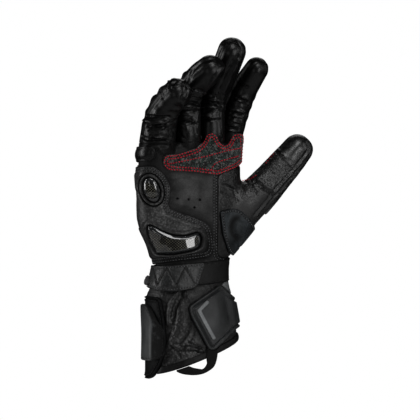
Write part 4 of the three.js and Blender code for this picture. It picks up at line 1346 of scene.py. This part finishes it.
# The sewn-on pieces on the palm's side: outline, its corners' radius, and how far back they reach
FRONT_PIECES = table(
    "name outline radius back_y",
    ("heel_slider", HEEL_SLIDER, 3, 0),
    ("knuckle_pad", KNUCKLE_PAD, 4, 9),
    ("thumb_patch", THUMB_PATCH, 4, 8),
    ("strap_tab", STRAP_TAB, 3, 14),
    ("strap_end", STRAP_END, 2, 16),
    ("cuff_guard", CUFF_GUARD, 4, 22),
    ("flap_base", FLAP_BASE, 2, FLAP_BACK_Y),
    ("cuff_flap", CUFF_FLAP, 3, FLAP_BACK_Y),
)
AREA = {
    row["name"]: both(inside(row["outline"], row["radius"]), before(row["back_y"]))
    for row in FRONT_PIECES
}
heel_area = both(inside(HEEL_PAD, 5), nearer(HEEL_DEPTH))
thumb_guard_area = both(inside(THUMB_GUARD, 4), beyond(THUMB_GUARD_Y))
overlap_shape = inside(CUFF_OVERLAP, 4)
stiff_area = either(
    heel_area, AREA["cuff_flap"], AREA["cuff_guard"], AREA["thumb_patch"], AREA["knuckle_pad"],
    both(inside(GRIP_PATCH), before(-10)), both(overlap_shape, below(OVERLAP_TOP_Z)), thumb_guard_area,
    strap_band(STRAP_LOW, STRAP_HIGH),
)
disc = inside(ellipse_outline(), radius=0)
thumb_side = inside(THUMB_REGION, 4)
not_thumb = outside(inside(THUMB_REGION, 4, GAP))
flap_room = both(inside(CUFF_FLAP, grow=GAP), before(FLAP_BACK_Y + GAP))
strap_room = strap_band(STRAP_LOW - GAP, STRAP_HIGH + GAP)
overlap_room = either(inside(CUFF_OVERLAP, 4, GAP), beyond(FLAP_BACK_Y))
side_guard_room = both(beyond(SIDE_GUARD_Y), above(116))

# The shell
SHELL_FADE = 2.5  # how far from a stiff piece the folds have died away
CREASED = [(36, 148, 22), (66, 153, 18)]  # u, v and reach of the thumb's most creased places
THUMB_ROOT = [(70, 141), (56, 126), (47, 132)]  # the hollow above the thumb's patch, where shade is painted dark
PALM_ROWS = (1.2, 3.6)  # the sewn rows' distances from the thumb's seam

# Shade painted dark and dull on the leather beside what is laid on it: how far out from an outline, and how
# much.
SHADE = "outline reach amount"
SHADED = {
    "palm": table(SHADE, (HEEL_PAD, 11, 0.75), (GRIP_PATCH, 6, 0.5)),
    "thumb": table(SHADE, (THUMB_PATCH, 11, 0.8)),
    "cuff": table(SHADE, (CUFF_FLAP, 10, 0.95), (CUFF_OVERLAP, 6, 0.7), (STRAP_TAB, 10, 0.8)),
    "back": [],
}


def shell_lift(skin, node):
    """Folds of the shell's leather, laid flat under the stiff pieces."""
    p = skin["p"]
    free = 1 - smoothstep(stiff_area(p), -SHELL_FADE, 0.5)
    on_cuff = smoothstep(p[:, 2], 64, 52)
    u, v, _ = seen(p)
    creased = sum(bump(np.hypot(u - a, v - b) / reach) for a, b, reach in CREASED)
    soft = (0.2 + 0.3 * on_cuff) * crumple(p * [1, 1, 0.7], 11, 3)
    soft += (0.05 + 0.2 * creased) * crumple(p, 4.5, 9)
    return (drawn_folds(skin, node) + soft) * free


def shade(node, sheet):
    """How dark the painted shade on a piece of the shell is beside the pieces laid on its front, from 0 to
    1.
    """
    total = np.zeros(len(sheet["p"]))
    for row in SHADED[node]:
        away = -inside(row["outline"], 4)(sheet["p"])
        total = np.maximum(total, row["amount"] * (1 - smoothstep(away, -1, row["reach"])))
    return total * smoothstep(sheet["n"] @ TOWARDS, -0.2, 0.2)


def palm_detail(sheet, lift):
    """Sewn rows along the thumb's seam, and painted shade in a strip beside the seam lower down."""
    seam = sheet["f"]["seam"] = not_thumb(sheet["p"])
    low = smoothstep(sheet["p"][:, 2], 128, 105)
    for at in PALM_ROWS:
        lift = lift + groove(seam, at, 0.8, 0.4)
    # dark sewn rows, and painted shade near the seam low down
    return np.maximum(sewn(seam, *PALM_ROWS), 0.85 * (1 - smoothstep(seam, 0, 10)) * low), lift


def thumb_detail(sheet, lift):
    """Dark seams, painted shade at the root and in a low strip by the palm's seam, and leather rubbed
    smooth at the tip, the root and the palm.
    """
    u, v, _ = seen(sheet["p"])
    tip_seam, side_seam, root = (
        from_line(sheet["p"], line) for line in (THUMB_TIP_SEAM, THUMB_SIDE_SEAM, THUMB_ROOT)
    )
    seams = np.minimum(tip_seam, side_seam)
    # dark sewn seams, and painted shade in the hollow at the thumb's root
    dark = np.maximum(sewn(seams, 0), 0.8 * bump(root / 12)) * (sheet["n"] @ TOWARDS > 0.02)
    low = smoothstep(sheet["p"][:, 2], 130, 116)
    past_tip_seam = (u - 76.4) * 0.67 + (v - 183.9) * 0.74 + 1
    by_palm = bump(np.hypot((u - 36) / 1.3, v - 150) / 10)
    smooth = smoothstep(past_tip_seam, -1, 1) + bump(root / 15) + by_palm
    sheet["f"]["polish"] = np.clip(smooth, 0, 1)
    # painted shade in a strip by the palm's seam, low down
    return np.maximum(dark, 0.95 * (1 - smoothstep(u, 30, 42)) * low), lift


SHELL_DETAIL = {"palm": palm_detail, "thumb": thumb_detail}


def shell_top(node):
    def top(sheet, d):
        lift = shell_lift(sheet, node) * smoothstep(d, 0.3, 2.5)
        dark = 0
        if node in SHELL_DETAIL:
            dark, lift = SHELL_DETAIL[node](sheet, lift)
        # dark seams and painted shade from the piece's details, and painted shade beside the pieces laid on
        # it
        sheet["f"]["channel"] = np.maximum(dark, shade(node, sheet))
        rounding = 1 - 0.75 * smoothstep(sheet["p"][:, 2], FINGER_SEAM_Z - 6, FINGER_SEAM_Z - 2)
        return lift + edge_round(d, 1.2, 0.7) * rounding

    return top


PERFORATIONS = [(-10.8, 141), (-0.9, 140.3), (9, 139.9), (4.1, 133.2)]
HOLE_RADIUS = 0.65


def with_hole_lines(skin):
    """The skin with points added on a cross through each perforation."""
    skin = {**skin, "f": dict(skin["f"])}
    for u, v in PERFORATIONS:
        for slope in ((1, 0), (0, 1), (1, 1), (1, -1)):
            pu, pv, pw = seen(skin["p"])
            local = (np.hypot(pu - u, pv - v) < 4) & (pw > 0)
            line = (pu - u) * slope[0] + (pv - v) * slope[1]
            skin["f"]["line"] = np.where(local, line, np.abs(line) + 1)
            skin = split(skin, "line")
    return skin


def holes(p):
    u, v, w = seen(p)
    nearest = np.minimum.reduce([np.hypot(u - a, v - b) for a, b in PERFORATIONS])
    return np.where(w > 0, nearest - HOLE_RADIUS, 1e9)


above_wrist = above(WRIST_SEAM_Z + GAP / 2)
palm_side = before(SIDE_SEAM_Y - GAP / 2)
back_side = beyond(SIDE_SEAM_Y + GAP / 2)
SHELL = table(
    "node leather slot areas",
    ("palm", "palm", "palm_leather", [above_wrist, palm_side, not_thumb, finger_roots, holes]),
    ("back", "back", "black_leather", [above_wrist, back_side, not_thumb, finger_roots]),
    ("thumb", "thumb", "black_leather", [above_wrist, thumb_side]),
    ("cuff", "grained", "black_leather", [below(WRIST_SEAM_Z - GAP / 2), above_hem()]),
)
for row in SHELL:
    skin = with_hole_lines(SKIN) if row["node"] == "palm" else SKIN
    material = LEATHER[row["leather"] + " leather"]
    top = shell_top(row["node"])
    panel(row["node"], skin, 0, row["areas"], top, -WALL, material, row["slot"], EDGE_LEVELS)


def finger_top(name):
    return lambda sheet, d: finger_lift(name, sheet) * smoothstep(d, 0.1, 1.2) + edge_round(d, 0.4, 0.2)


above_seam = [above(FINGER_SEAM_Z + GAP / 2)]
for name in KNUCKLES:
    skin, top = finger_skin(name, FINGER_SPACING, FINGER_SIDES), finger_top(name)
    panel(name, skin, 0, above_seam, top, -WALL, LEATHER["finger leather"], "black_leather", EDGE_LEVELS)

# Hard and padded pieces of the palm
PAD_ROWS = (1.7, 4.2)  # the sewn rows' distances from the pad's border
PAD_CREST = [(-29.6, 127), (-17.6, 124.6), (-3.5, 120), (9, 116.5), (13.6, 111), (13.6, 101), (9, 92)]
SLIDER_LEVELS = (0.25, 0.5, 0.9, 1.1, 1.6, 2.1, 2.6, 3.1, 3.3, 3.5)
DOME_LEVELS = (0.15, 0.4, 0.8, 1.4, 2.2, 3.2, 4.4, 5.6)
slider_shape = inside(HEEL_SLIDER)
slider_window = both(inside(HEEL_SLIDER, grow=GAP), before(0))
disc_window = both(inside(ellipse_outline(), 0, 3.6), nearer(DISC_DEPTH))


def pad_top(sheet, d):
    """A puffed pad: a welt round the slider, sewn channels round its border and a crest between, with shade
    painted dark below the slider and at its right.
    """
    u, v, _ = seen(sheet["q"])
    near_slider = np.where(sheet["p"][:, 1] < 2, -slider_shape(sheet["q"]), 30)
    border = sheet["f"]["border"] = inside(HEEL_PAD, 5)(sheet["q"])
    # painted shade below the slider and at the pad's right, fading out farther in from the border
    low = smoothstep(v, 113, 96) * smoothstep(near_slider, 1, 3)
    right = smoothstep(u, 9, 14) * smoothstep(v, 122, 110)
    painted_hollow_shade = np.maximum(low, right) * (1 - smoothstep(border, 8, 20))
    sheet["f"]["channel"] = np.maximum(sewn(border, *PAD_ROWS), painted_hollow_shade)
    sheet["f"]["polish"] = np.maximum(smoothstep(v, 118, 106), smoothstep(v, 132, 142))
    puff = 1.3 * smoothstep(border, 3.5, 8) * smoothstep(near_slider, 1, 7)
    crest = 1.2 * bump(from_line(sheet["q"], PAD_CREST) / 3.4)
    welts = 0.9 * bump((near_slider - 1.6) / 1.4) + 0.7 * bump((near_slider - 4.6) / 1.3)
    rows = groove(border, PAD_ROWS[0], 0.9, 0.5) + groove(border, PAD_ROWS[1], 0.9, 0.6)
    lift = puff + crest + welts + rows + 0.15 * crumple(sheet["p"], 9, 21)
    return PAD + lift + edge_round(d, 1.6, 1.5)


def slider_top(sheet, d):
    """A moulded shell: a step up from its rim, a bevel, then a low dome."""
    step = 1.7 * smoothstep(d, 0, 0.9)
    bevel = 1.7 * np.sin(np.clip((d - 0.9) / 2.4, 0, 1) * np.pi / 2)
    dome = 1.5 * smoothstep(d, 3.3, 11)
    dome = relax(dome[:, None], edges_of(sheet["t"]), 60, 0.5)[:, 0]
    return LAYER + step + bevel + dome


def ring_top(sheet, d):
    return PAD + 1.5 * bump((disc(sheet["q"]) + 1.7) / 2.2) + edge_round(d, 0.9, 1.2)


def dome_top(sheet, d):
    """A low dome: a quarter round over the oval slider's half width."""
    return 2.4 + 3.4 * np.sqrt(np.clip(1 - (1 - np.clip(d / DISC["half_width"], 0, 1)) ** 2, 0, 1))


PUFFED_ROW = 1.9


def puffed(height, puff):
    """A plain puffed piece with one sewn row round it."""

    def top(sheet, d):
        lift = puff * smoothstep(d, 1, 6) + 0.2 * crumple(sheet["p"], 8, 31)
        return height + lift + groove(d, PUFFED_ROW, 0.8, 0.35) + edge_round(d, 1.6, height * 0.5)

    return top


padding, soft_slot = LEATHER["padded leather"], "padded_leather"
heel_areas = [both(heel_area, before(16))]
heel_areas += [outside(room) for room in (slider_window, disc_window, side_guard_room, strap_room)]
heel_piece = panel(
    "heel_pad", SKIN, PALM_HEIGHT, heel_areas, pad_top, GAP, padding, soft_slot, PUFFED_LEVELS
)
slider_piece = panel(
    "heel_slider", SKIN, PALM_HEIGHT, [AREA["heel_slider"]], slider_top, GAP, CARBON, "carbon_slider",
    SLIDER_LEVELS, HARD_DEG,
)
ring_areas = [inside(ellipse_outline(), 0, 3.3), nearer(DISC_DEPTH)]
ring_areas += [outside(inside(ellipse_outline(), 0, GAP)), outside(side_guard_room)]
ring_piece = panel(
    "side_slider_ring", SKIN, PALM_HEIGHT, ring_areas, ring_top, GAP, padding, soft_slot, (0.3, 0.8, 1.5)
)
disc_piece = panel(
    "side_slider", SKIN, PALM_HEIGHT, [disc, nearer(DISC_DEPTH)], dome_top, GAP, CARBON, "carbon_slider",
    DOME_LEVELS, HARD_DEG,
)
side_areas = [inside(SIDE_GUARD), beyond(SIDE_GUARD_Y + GAP)]
side_piece = panel(
    "side_guard", SKIN, PALM_HEIGHT, side_areas, puffed(PAD, 0.9), GAP, padding, soft_slot, PUFFED_LEVELS
)
knuckle_piece = panel(
    "knuckle_pad", SKIN, PALM_HEIGHT, [AREA["knuckle_pad"]], puffed(LAYER + 0.4, 1.0), GAP,
    LEATHER["finger leather"], soft_slot, PUFFED_LEVELS,
)

# The patches and the thumb's guard
PATCH_LINES = [
    [(-19, 170.9), (-3.5, 174.1), (14.1, 177.9), (31.7, 182.9), (44.9, 185.7)],
    [(18.3, 165.3), (21.1, 170.9), (26, 173.7), (42.9, 178.6)],
]
BOSS = [(40.5, 121), (45.5, 121.5), (50, 118), (50.5, 112.5), (46.5, 108.6), (41.8, 109), (39, 114)]
BOSS_CREASE = [(40, 111), (42, 104), (45, 97)]
THUMB_PATCH_ROW = 1.8


def patch_top(sheet, d):
    channels = sum(-0.35 * bump(from_line(sheet["q"], line)) for line in PATCH_LINES)
    rows = groove(d, 1.0, 0.6, 0.25) + groove(d, 2.6, 0.7, 0.3)
    return LAYER + rows + channels + edge_round(d, 0.7, 0.7)


def thumb_patch_top(sheet, d):
    """A plain raised boss with shade painted beside it."""
    u, _, _ = seen(sheet["q"])
    boss = inside(BOSS, 2.5)(sheet["q"])
    # painted shade beside the boss, on its left
    painted_hollow_shade = 0.95 * bump((boss + 3) / 5) * smoothstep(u, 48, 40)
    sheet["f"]["channel"] = np.maximum(sewn(d, THUMB_PATCH_ROW), painted_hollow_shade)
    crease = 0.8 * bump(from_line(sheet["q"], BOSS_CREASE) / 1.5)
    face = LAYER + 1 + 1.4 * smoothstep(boss, -0.8, 0.9) - crease
    return face + groove(d, THUMB_PATCH_ROW, 0.7, 0.3) + edge_round(d, 1, 1)


panel(
    "grip_patch", SKIN, LAYER, [inside(GRIP_PATCH), before(-10.2)], patch_top, GAP, WEAVE, "woven_patch",
    (0.3, 0.7, 1.0, 1.8, 2.6),
)
panel(
    "thumb_patch", SKIN, LAYER + 1, [AREA["thumb_patch"]], thumb_patch_top, GAP,
    LEATHER["thumb patch leather"], "blue_grey_panel", (0.3, 0.7, 1.1, 1.8),
)
panel(
    "thumb_guard", SKIN, LAYER + 1, [thumb_guard_area], puffed(LAYER + 0.7, 0.9), GAP,
    LEATHER["smooth leather"], "black_leather", PUFFED_LEVELS,
)

# Wrist
ZIGZAG = [(-33, 82.5), (-28, 66), (-20, 81), (-12, 66), (-4.4, 81), (4.5, 67)]
STRAP_ROW, TAB_ROW = 1.6, 1.7
END_RIB_WIDTH = 2.6
end_room = both(inside(STRAP_END, 2, GAP), before(16 + GAP))
tab_areas = [AREA["strap_tab"], strap_band(STRAP_LOW - 5, STRAP_HIGH), outside(end_room)]


def strap_top(sheet, d):
    soft = 0.25 * crumple(sheet["p"], 7, 41)
    return STRAP + groove(d, STRAP_ROW, 0.7, 0.3) + soft + edge_round(d, 0.9, 0.9)


def tab_top(sheet, d):
    zigzag = from_line(sheet["q"], ZIGZAG)
    sheet["f"]["channel"] = np.maximum(bump(zigzag / 1.3), sewn(d, TAB_ROW))
    face = TAB_TOP + 0.5 * smoothstep(d, 1.5, 5) - 0.7 * bump(zigzag / 1.6) + groove(d, TAB_ROW, 0.7, 0.3)
    return face + 0.2 * crumple(sheet["p"], 6, 43) + edge_round(d, 1, 1)


def end_top(sheet, d):
    ribs = 0.8 * np.sin(sheet["p"][:, 1] * 2 * np.pi / END_RIB_WIDTH)
    return STRAP + 3.6 + ribs * smoothstep(d, 0.6, 2) + edge_round(d, 1, 1.4)


panel(
    "wrist_strap", SKIN, STRAP, [strap_band(STRAP_LOW, STRAP_HIGH)], strap_top, GAP,
    LEATHER["strap leather"], "black_leather", (0.3, 0.9, 1.6),
)
panel(
    "strap_tab", SKIN, TAB_TOP, tab_areas, tab_top, STRAP + GAP, LEATHER["tab leather"], soft_slot,
    (0.3, 0.9, 1.7),
)
panel(
    "strap_end", SKIN, TAB_TOP, [AREA["strap_end"]], end_top, STRAP + GAP, RUBBER, "moulded_rubber",
    (0.3, 0.9),
)

# Cuff
GUARD_RIDGE = [(-34.8, -2), (-34.4, 15), (-33.8, 34), (-40.3, 49)]
GUARD_ROW, OVERLAP_ROW = 2.0, 3.2
PULL_LOOP = table(
    "u v half_width",
    (-15, 0, 5.5),
    (-7, -6, 5),
    (0, -8.8, 3.6),
    (7, -9.6, 2.7),
    (12.6, -8.8, 1.9),
    (17.7, -3.9, 3.2),
    (18.8, 2.4, 4.4),
    (19.4, 11, 4.6),
)
LOOP_TUCK_U = 8
LOOP_FROM = HEM_THICKNESS + GAP


def overlap_top(sheet, d):
    """Two rolls of piping along the front edge, and soft leather behind them."""
    front = np.where(sheet["p"][:, 1] < FLAP_BACK_Y, overlap_shape(sheet["q"]), 20)
    piping = 1.1 * bump((front - 1.1) / 1.0) - 0.4 * bump((front - 2.4) / 0.6)
    piping += 0.7 * bump((front - 3.7) / 0.9)
    soft = 0.3 * crumple(sheet["p"] * [1, 1, 0.6], 12, 51) * smoothstep(d, 3, 8)
    return LAYER + piping + soft + edge_round(d, 0.8, 0.9)


def guard_top(sheet, d):
    """A flat face with a thin ridge, and a slope to its right where shade is painted dark."""
    u, v, _ = seen(sheet["q"])
    front = sheet["n"] @ TOWARDS > 0
    ridge_u = np.interp(v, [row[1] for row in GUARD_RIDGE], [row[0] for row in GUARD_RIDGE])
    right = np.where(front, np.clip(u - ridge_u, 0, 12), 0)
    ridge = np.where(front, 0.3 * np.exp(-from_line(sheet["q"], GUARD_RIDGE) / 1.6), 0)
    # shade painted on the slope right of the ridge, and darker towards the top
    sheet["f"]["channel"] = np.maximum(smoothstep(right, 0.5, 1.5), 0.5 * smoothstep(v, 26, 46))
    return GUARD + 0.4 + ridge - 0.32 * right + groove(d, GUARD_ROW, 0.8, 0.3) + edge_round(d, 1.6, 1.6)


def flap_top(sheet, d):
    """A thick rim, a groove inside it and a raised face."""
    face = (FLAP - FLAP_EDGE) * smoothstep(d, 3.6, 5)
    welt = 0.7 * bump((d - 1.5) / 1.5) - 0.6 * bump((d - 3.3) / 0.7)
    return FLAP_EDGE + face + welt + edge_round(d, 1, 1.2)


def hem_top(sheet, d):
    roll = 0.4 * bump((d - 3) / 3)
    return HEM_THICKNESS + roll + 0.2 * crumple(sheet["p"], 5, 61) + edge_round(d, 0.8, 0.8)


def flat(height, radius, depth):
    return lambda sheet, d: height + edge_round(d, radius, depth)


def band_outline():
    t = np.linspace(0, len(PULL_LOOP) - 1, 60)
    u, v, half = (between(PULL_LOOP, column, t) for column in ("u", "v", "half_width"))
    du, dv = np.gradient(u), np.gradient(v)
    length = np.hypot(du, dv)
    aside = np.stack([-dv / length, du / length], 1) * half[:, None]
    middle = np.stack([u, v], 1)
    return np.vstack([middle - aside, (middle + aside)[::-1]])


overlap_areas = [
    either(overlap_shape, beyond(FLAP_BACK_Y + 2 * GAP)), above_hem(-4), below(OVERLAP_TOP_Z),
    outside(strap_room),
]
stripe_areas = [inside(FLAP_STRIPE, 0.6, 0.5), before(0)]
hem_areas = [above_hem(), outside(above_hem(HEM_HEIGHT)), outside(overlap_room), outside(flap_room)]
tuck = both(lambda p: LOOP_TUCK_U - seen(p)[0], above_hem(-GAP))
loop_areas = [inside(band_outline(), 0), nearer(0)]
loop_areas += [outside(room) for room in (flap_room, overlap_room, tuck)]
panel(
    "cuff_overlap", SKIN, LAYER, overlap_areas, overlap_top, GAP, LEATHER["overlap leather"],
    "black_leather", (0.3, 0.8, 1.6, 2.4, 3.2, 4),
)
panel(
    "cuff_guard", SKIN, GUARD, [AREA["cuff_guard"]], guard_top, LAYER + GAP, LEATHER["guard leather"],
    "blue_grey_panel", (0.5, 1.1, 1.8),
)
panel(
    "flap_base", SKIN, LAYER, [AREA["flap_base"], outside(flap_room), outside(strap_room)],
    flat(LAYER, 0.7, 0.6), GAP, LEATHER["grey trim"], "light_grey_trim", (0.3, 0.7),
)
panel(
    "cuff_flap", SKIN, FLAP_EDGE, [AREA["cuff_flap"], outside(strap_room)], flap_top, GAP,
    LEATHER["flap leather"], "blue_grey_panel", (0.3, 0.8, 1.5, 2.3, 2.8, 3.3, 3.8, 4.4, 5),
)
panel(
    "flap_stripe", SKIN, FLAP, stripe_areas, flat(FLAP + GAP + 0.5, 0.4, 0.3), FLAP + 0.1,
    LEATHER["grey trim"], "light_grey_trim", (0.2, 0.4),
)
panel(
    "hem_binding", SKIN, HEM_THICKNESS, hem_areas, hem_top, GAP, LEATHER["strap leather"],
    "black_leather", (0.3, 0.8),
)
panel(
    "pull_loop", SKIN, LOOP_FROM, loop_areas, flat(LOOP_FROM + 1.6, 0.5, 0.5), LOOP_FROM, WEBBING,
    "webbing", (0.25, 0.5),
)

# Stitching: along a level of a sheet's named value, or along lines drawn in the side view
TIP_LINE = [(1.4, 235.2), (5, 234.6), (8.8, 233.1), (12, 233.4)]
THUMB_EDGES = [[(74.8, 181.4), (70.5, 177), (66.6, 171.7)], [(59, 162), (53, 158.4), (46, 157)]]
STITCHES = table(
    "name node value at thread pitch length width",
    ("heel_pad_stitches_17", "heel_pad", "border", PAD_ROWS[0], GREY_THREAD, 2.5, 1.4, 0.34),
    ("heel_pad_stitches_42", "heel_pad", "border", PAD_ROWS[1], GREY_THREAD, 2.5, 1.4, 0.34),
    ("grip_patch_stitches_1", "grip_patch", "edge", 0.9, RED_THREAD, 2.7, 2.0, 0.62),
    ("grip_patch_stitches_2", "grip_patch", "edge", 3.3, RED_THREAD, 2.7, 2.0, 0.62),
    ("grip_patch_inner_stitches", "grip_patch", "lines", PATCH_LINES, RED_THREAD, 2.7, 2.0, 0.55),
    ("palm_seam_stitches_1", "palm", "seam", PALM_ROWS[0], GREY_THREAD, 2.5, 1.4, 0.36),
    ("palm_seam_stitches_2", "palm", "seam", PALM_ROWS[1], GREY_THREAD, 2.5, 1.4, 0.36),
    ("thumb_patch_stitches", "thumb_patch", "edge", THUMB_PATCH_ROW, GREY_THREAD, 2.5, 1.4, 0.34),
    ("strap_tab_edge_stitches", "strap_tab", "edge", TAB_ROW, GREY_THREAD, 2.5, 1.4, 0.3),
    ("strap_tab_zigzag_stitches", "strap_tab", "lines", [ZIGZAG], BLACK_THREAD, 2.5, 1.5, 0.4),
    ("wrist_strap_stitches", "wrist_strap", "edge", STRAP_ROW, BLACK_THREAD, 2.9, 2.2, 0.3),
    ("cuff_guard_stitches", "cuff_guard", "edge", GUARD_ROW, BLACK_THREAD, 2.9, 2.2, 0.3),
    ("knuckle_pad_stitches", "knuckle_pad", "edge", PUFFED_ROW, BLACK_THREAD, 2.9, 2.2, 0.3),
    ("overlap_stitches", "cuff_overlap", "edge", OVERLAP_ROW, BLACK_THREAD, 2.9, 2.2, 0.3),
    ("ring_finger_stitches", "ring_finger", "lines", [TIP_LINE], GREY_THREAD, 2.2, 1.5, 0.28),
    ("thumb_edge_stitches", "thumb", "lines", THUMB_EDGES, RED_THREAD, 2.4, 2, 0.5),
)
for row in STITCHES:
    sheet, at = SHEETS[row["node"]], row["at"]
    drawn = row["value"] == "lines"
    chains = [laid_line(sheet, line) for line in at] if drawn else iso_lines(sheet, row["value"], at)
    points, faces = stitch_mesh(chains, row["pitch"], row["length"], row["width"])
    dress(row["name"], None, points, faces, row["thread"], "webbing", THREAD_DEG)

# Floor, light and camera
FLOOR_Z, FLOOR_RADIUS, FLOOR_SIDES = -0.125, 0.42, 96
TARGET = RIGHT * 17.6 * MM + np.array([0, 0, 131.1 * MM])
CAMERA_AWAY = 3.0
FRAME_WIDTH = 0.3696
SENSOR_MM = 36
VIEW_GAMMA = 0.8  # darkens the dark tones, as a camera's tone curve does

# Softboxes, placed from the target in metres: to the right, towards the eye and up
LAMPS = table(
    "name right towards up width height power glossy",
    ("upper left", -0.9, 1.0, 1.2, 0.3, 0.3, 1.2, True),
    ("left side", -1.35, -0.15, 0.1, 0.3, 1.2, 15, True),
    ("right", 1.2, 0.75, 0.3, 0.25, 0.9, 5.4, True),
    ("right side", 1.35, -0.2, 0.3, 0.35, 1.2, 3, True),
    ("low", -0.3, 1.3, -0.3, 0.5, 0.3, 5.5, False),
    ("behind", 0.1, -1.3, 1.2, 1.2, 0.6, 6, True),
)

# Softboxes that are mirrored at a spot of the side view, and how far off they stand
GLINT_AWAY = 0.9
GLINT_POINTS, GLINT_DEPTH = 10, 1.5  # the points whose normals are averaged at the spot
GLINTS = table(
    "name piece u v width height power",
    ("slider glint", slider_piece, 0.4, 103.6, 0.25, 0.52, 5),
    ("bevel glint", slider_piece, -16, 107.2, 0.4, 0.5, 7),
    ("dome glint", disc_piece, -35.2, 154.5, 0.15, 0.45, 1.2),
)


def floor():
    angle = np.linspace(0, 2 * np.pi, FLOOR_SIDES, endpoint=False)
    rim = np.stack([np.cos(angle), np.sin(angle), 0 * angle], 1) * FLOOR_RADIUS
    points = (np.vstack([rim, [[0, 0, 0]]]) + [0, 0, FLOOR_Z]) / MM
    i = np.arange(FLOOR_SIDES)
    faces = np.stack([i, (i + 1) % FLOOR_SIDES, np.full(FLOOR_SIDES, FLOOR_SIDES)], 1)
    s = Surface("pale floor")
    color = s.mixed(s.noise(60, 3), grey(0.8), grey(0.86))
    mesh_object("floor", points, faces, s.finish(color=color, roughness=0.8), smooth=False)


def world():
    """White behind the glove; only the floor and the softboxes light it."""
    sky = bpy.data.worlds.new("studio")
    bpy.context.scene.world = sky
    sky.use_nodes = True
    back = sky.node_tree.nodes["Background"].inputs
    back["Color"].default_value, back["Strength"].default_value = (1, 1, 1, 1), 1
    sky.cycles_visibility.diffuse = sky.cycles_visibility.glossy = False


def softbox(row, at, target):
    light = bpy.data.lights.new(row["name"], "AREA")
    light.shape = "RECTANGLE"
    light.size, light.size_y = row["width"], row["height"]
    light.energy = row["power"]
    lamp = bpy.data.objects.new(row["name"], light)
    lamp.location = at
    lamp.visible_glossy = row.get("glossy", True)
    lamp.rotation_euler = (Vector(target) - Vector(at)).to_track_quat("-Z", "Y").to_euler()
    bpy.context.collection.objects.link(lamp)


def mirrored_in(piece, u, v):
    """Where a lamp has to stand to be mirrored at a spot of the side view, and the spot."""
    mesh = piece.data
    turned = np.array(piece.matrix_world)
    points = np.array([vertex.co for vertex in mesh.vertices]) @ turned[:3, :3].T + turned[:3, 3]
    normals = np.array([vertex.normal for vertex in mesh.vertices])
    pu, pv, pw = seen(points / MM)
    front = np.flatnonzero(normals @ TOWARDS > 0.2)
    off = np.hypot(pu[front] - u, pv[front] - v)
    near = front[np.argsort(off)[:GLINT_POINTS]]
    near = near[pw[near] > pw[near].max() - GLINT_DEPTH]
    normal = normals[near].mean(0)
    normal /= np.linalg.norm(normal)
    spot = points[near].mean(0)
    eye = TARGET + TOWARDS * CAMERA_AWAY - spot
    eye /= np.linalg.norm(eye)
    out = 2 * (normal @ eye) * normal - eye
    return spot + out * GLINT_AWAY, spot


def camera():
    lens = bpy.data.cameras.new("camera")
    lens.sensor_width = SENSOR_MM
    lens.lens = SENSOR_MM * CAMERA_AWAY / FRAME_WIDTH
    lens.clip_end = 50
    eye = bpy.data.objects.new("camera", lens)
    eye.location = TARGET + TOWARDS * CAMERA_AWAY
    eye.rotation_euler = Vector(-TOWARDS).to_track_quat("-Z", "Y").to_euler()
    bpy.context.collection.objects.link(eye)
    bpy.context.scene.camera = eye


floor()
world()
for row in LAMPS:
    off = RIGHT * row["right"] + TOWARDS * row["towards"] + np.array([0, 0, row["up"]])
    softbox(row, TARGET + off, TARGET)
for row in GLINTS:
    softbox(row, *mirrored_in(row["piece"], row["u"], row["v"]))
camera()
bpy.context.scene.view_settings.view_transform = "Standard"
bpy.context.scene.view_settings.gamma = VIEW_GAMMA
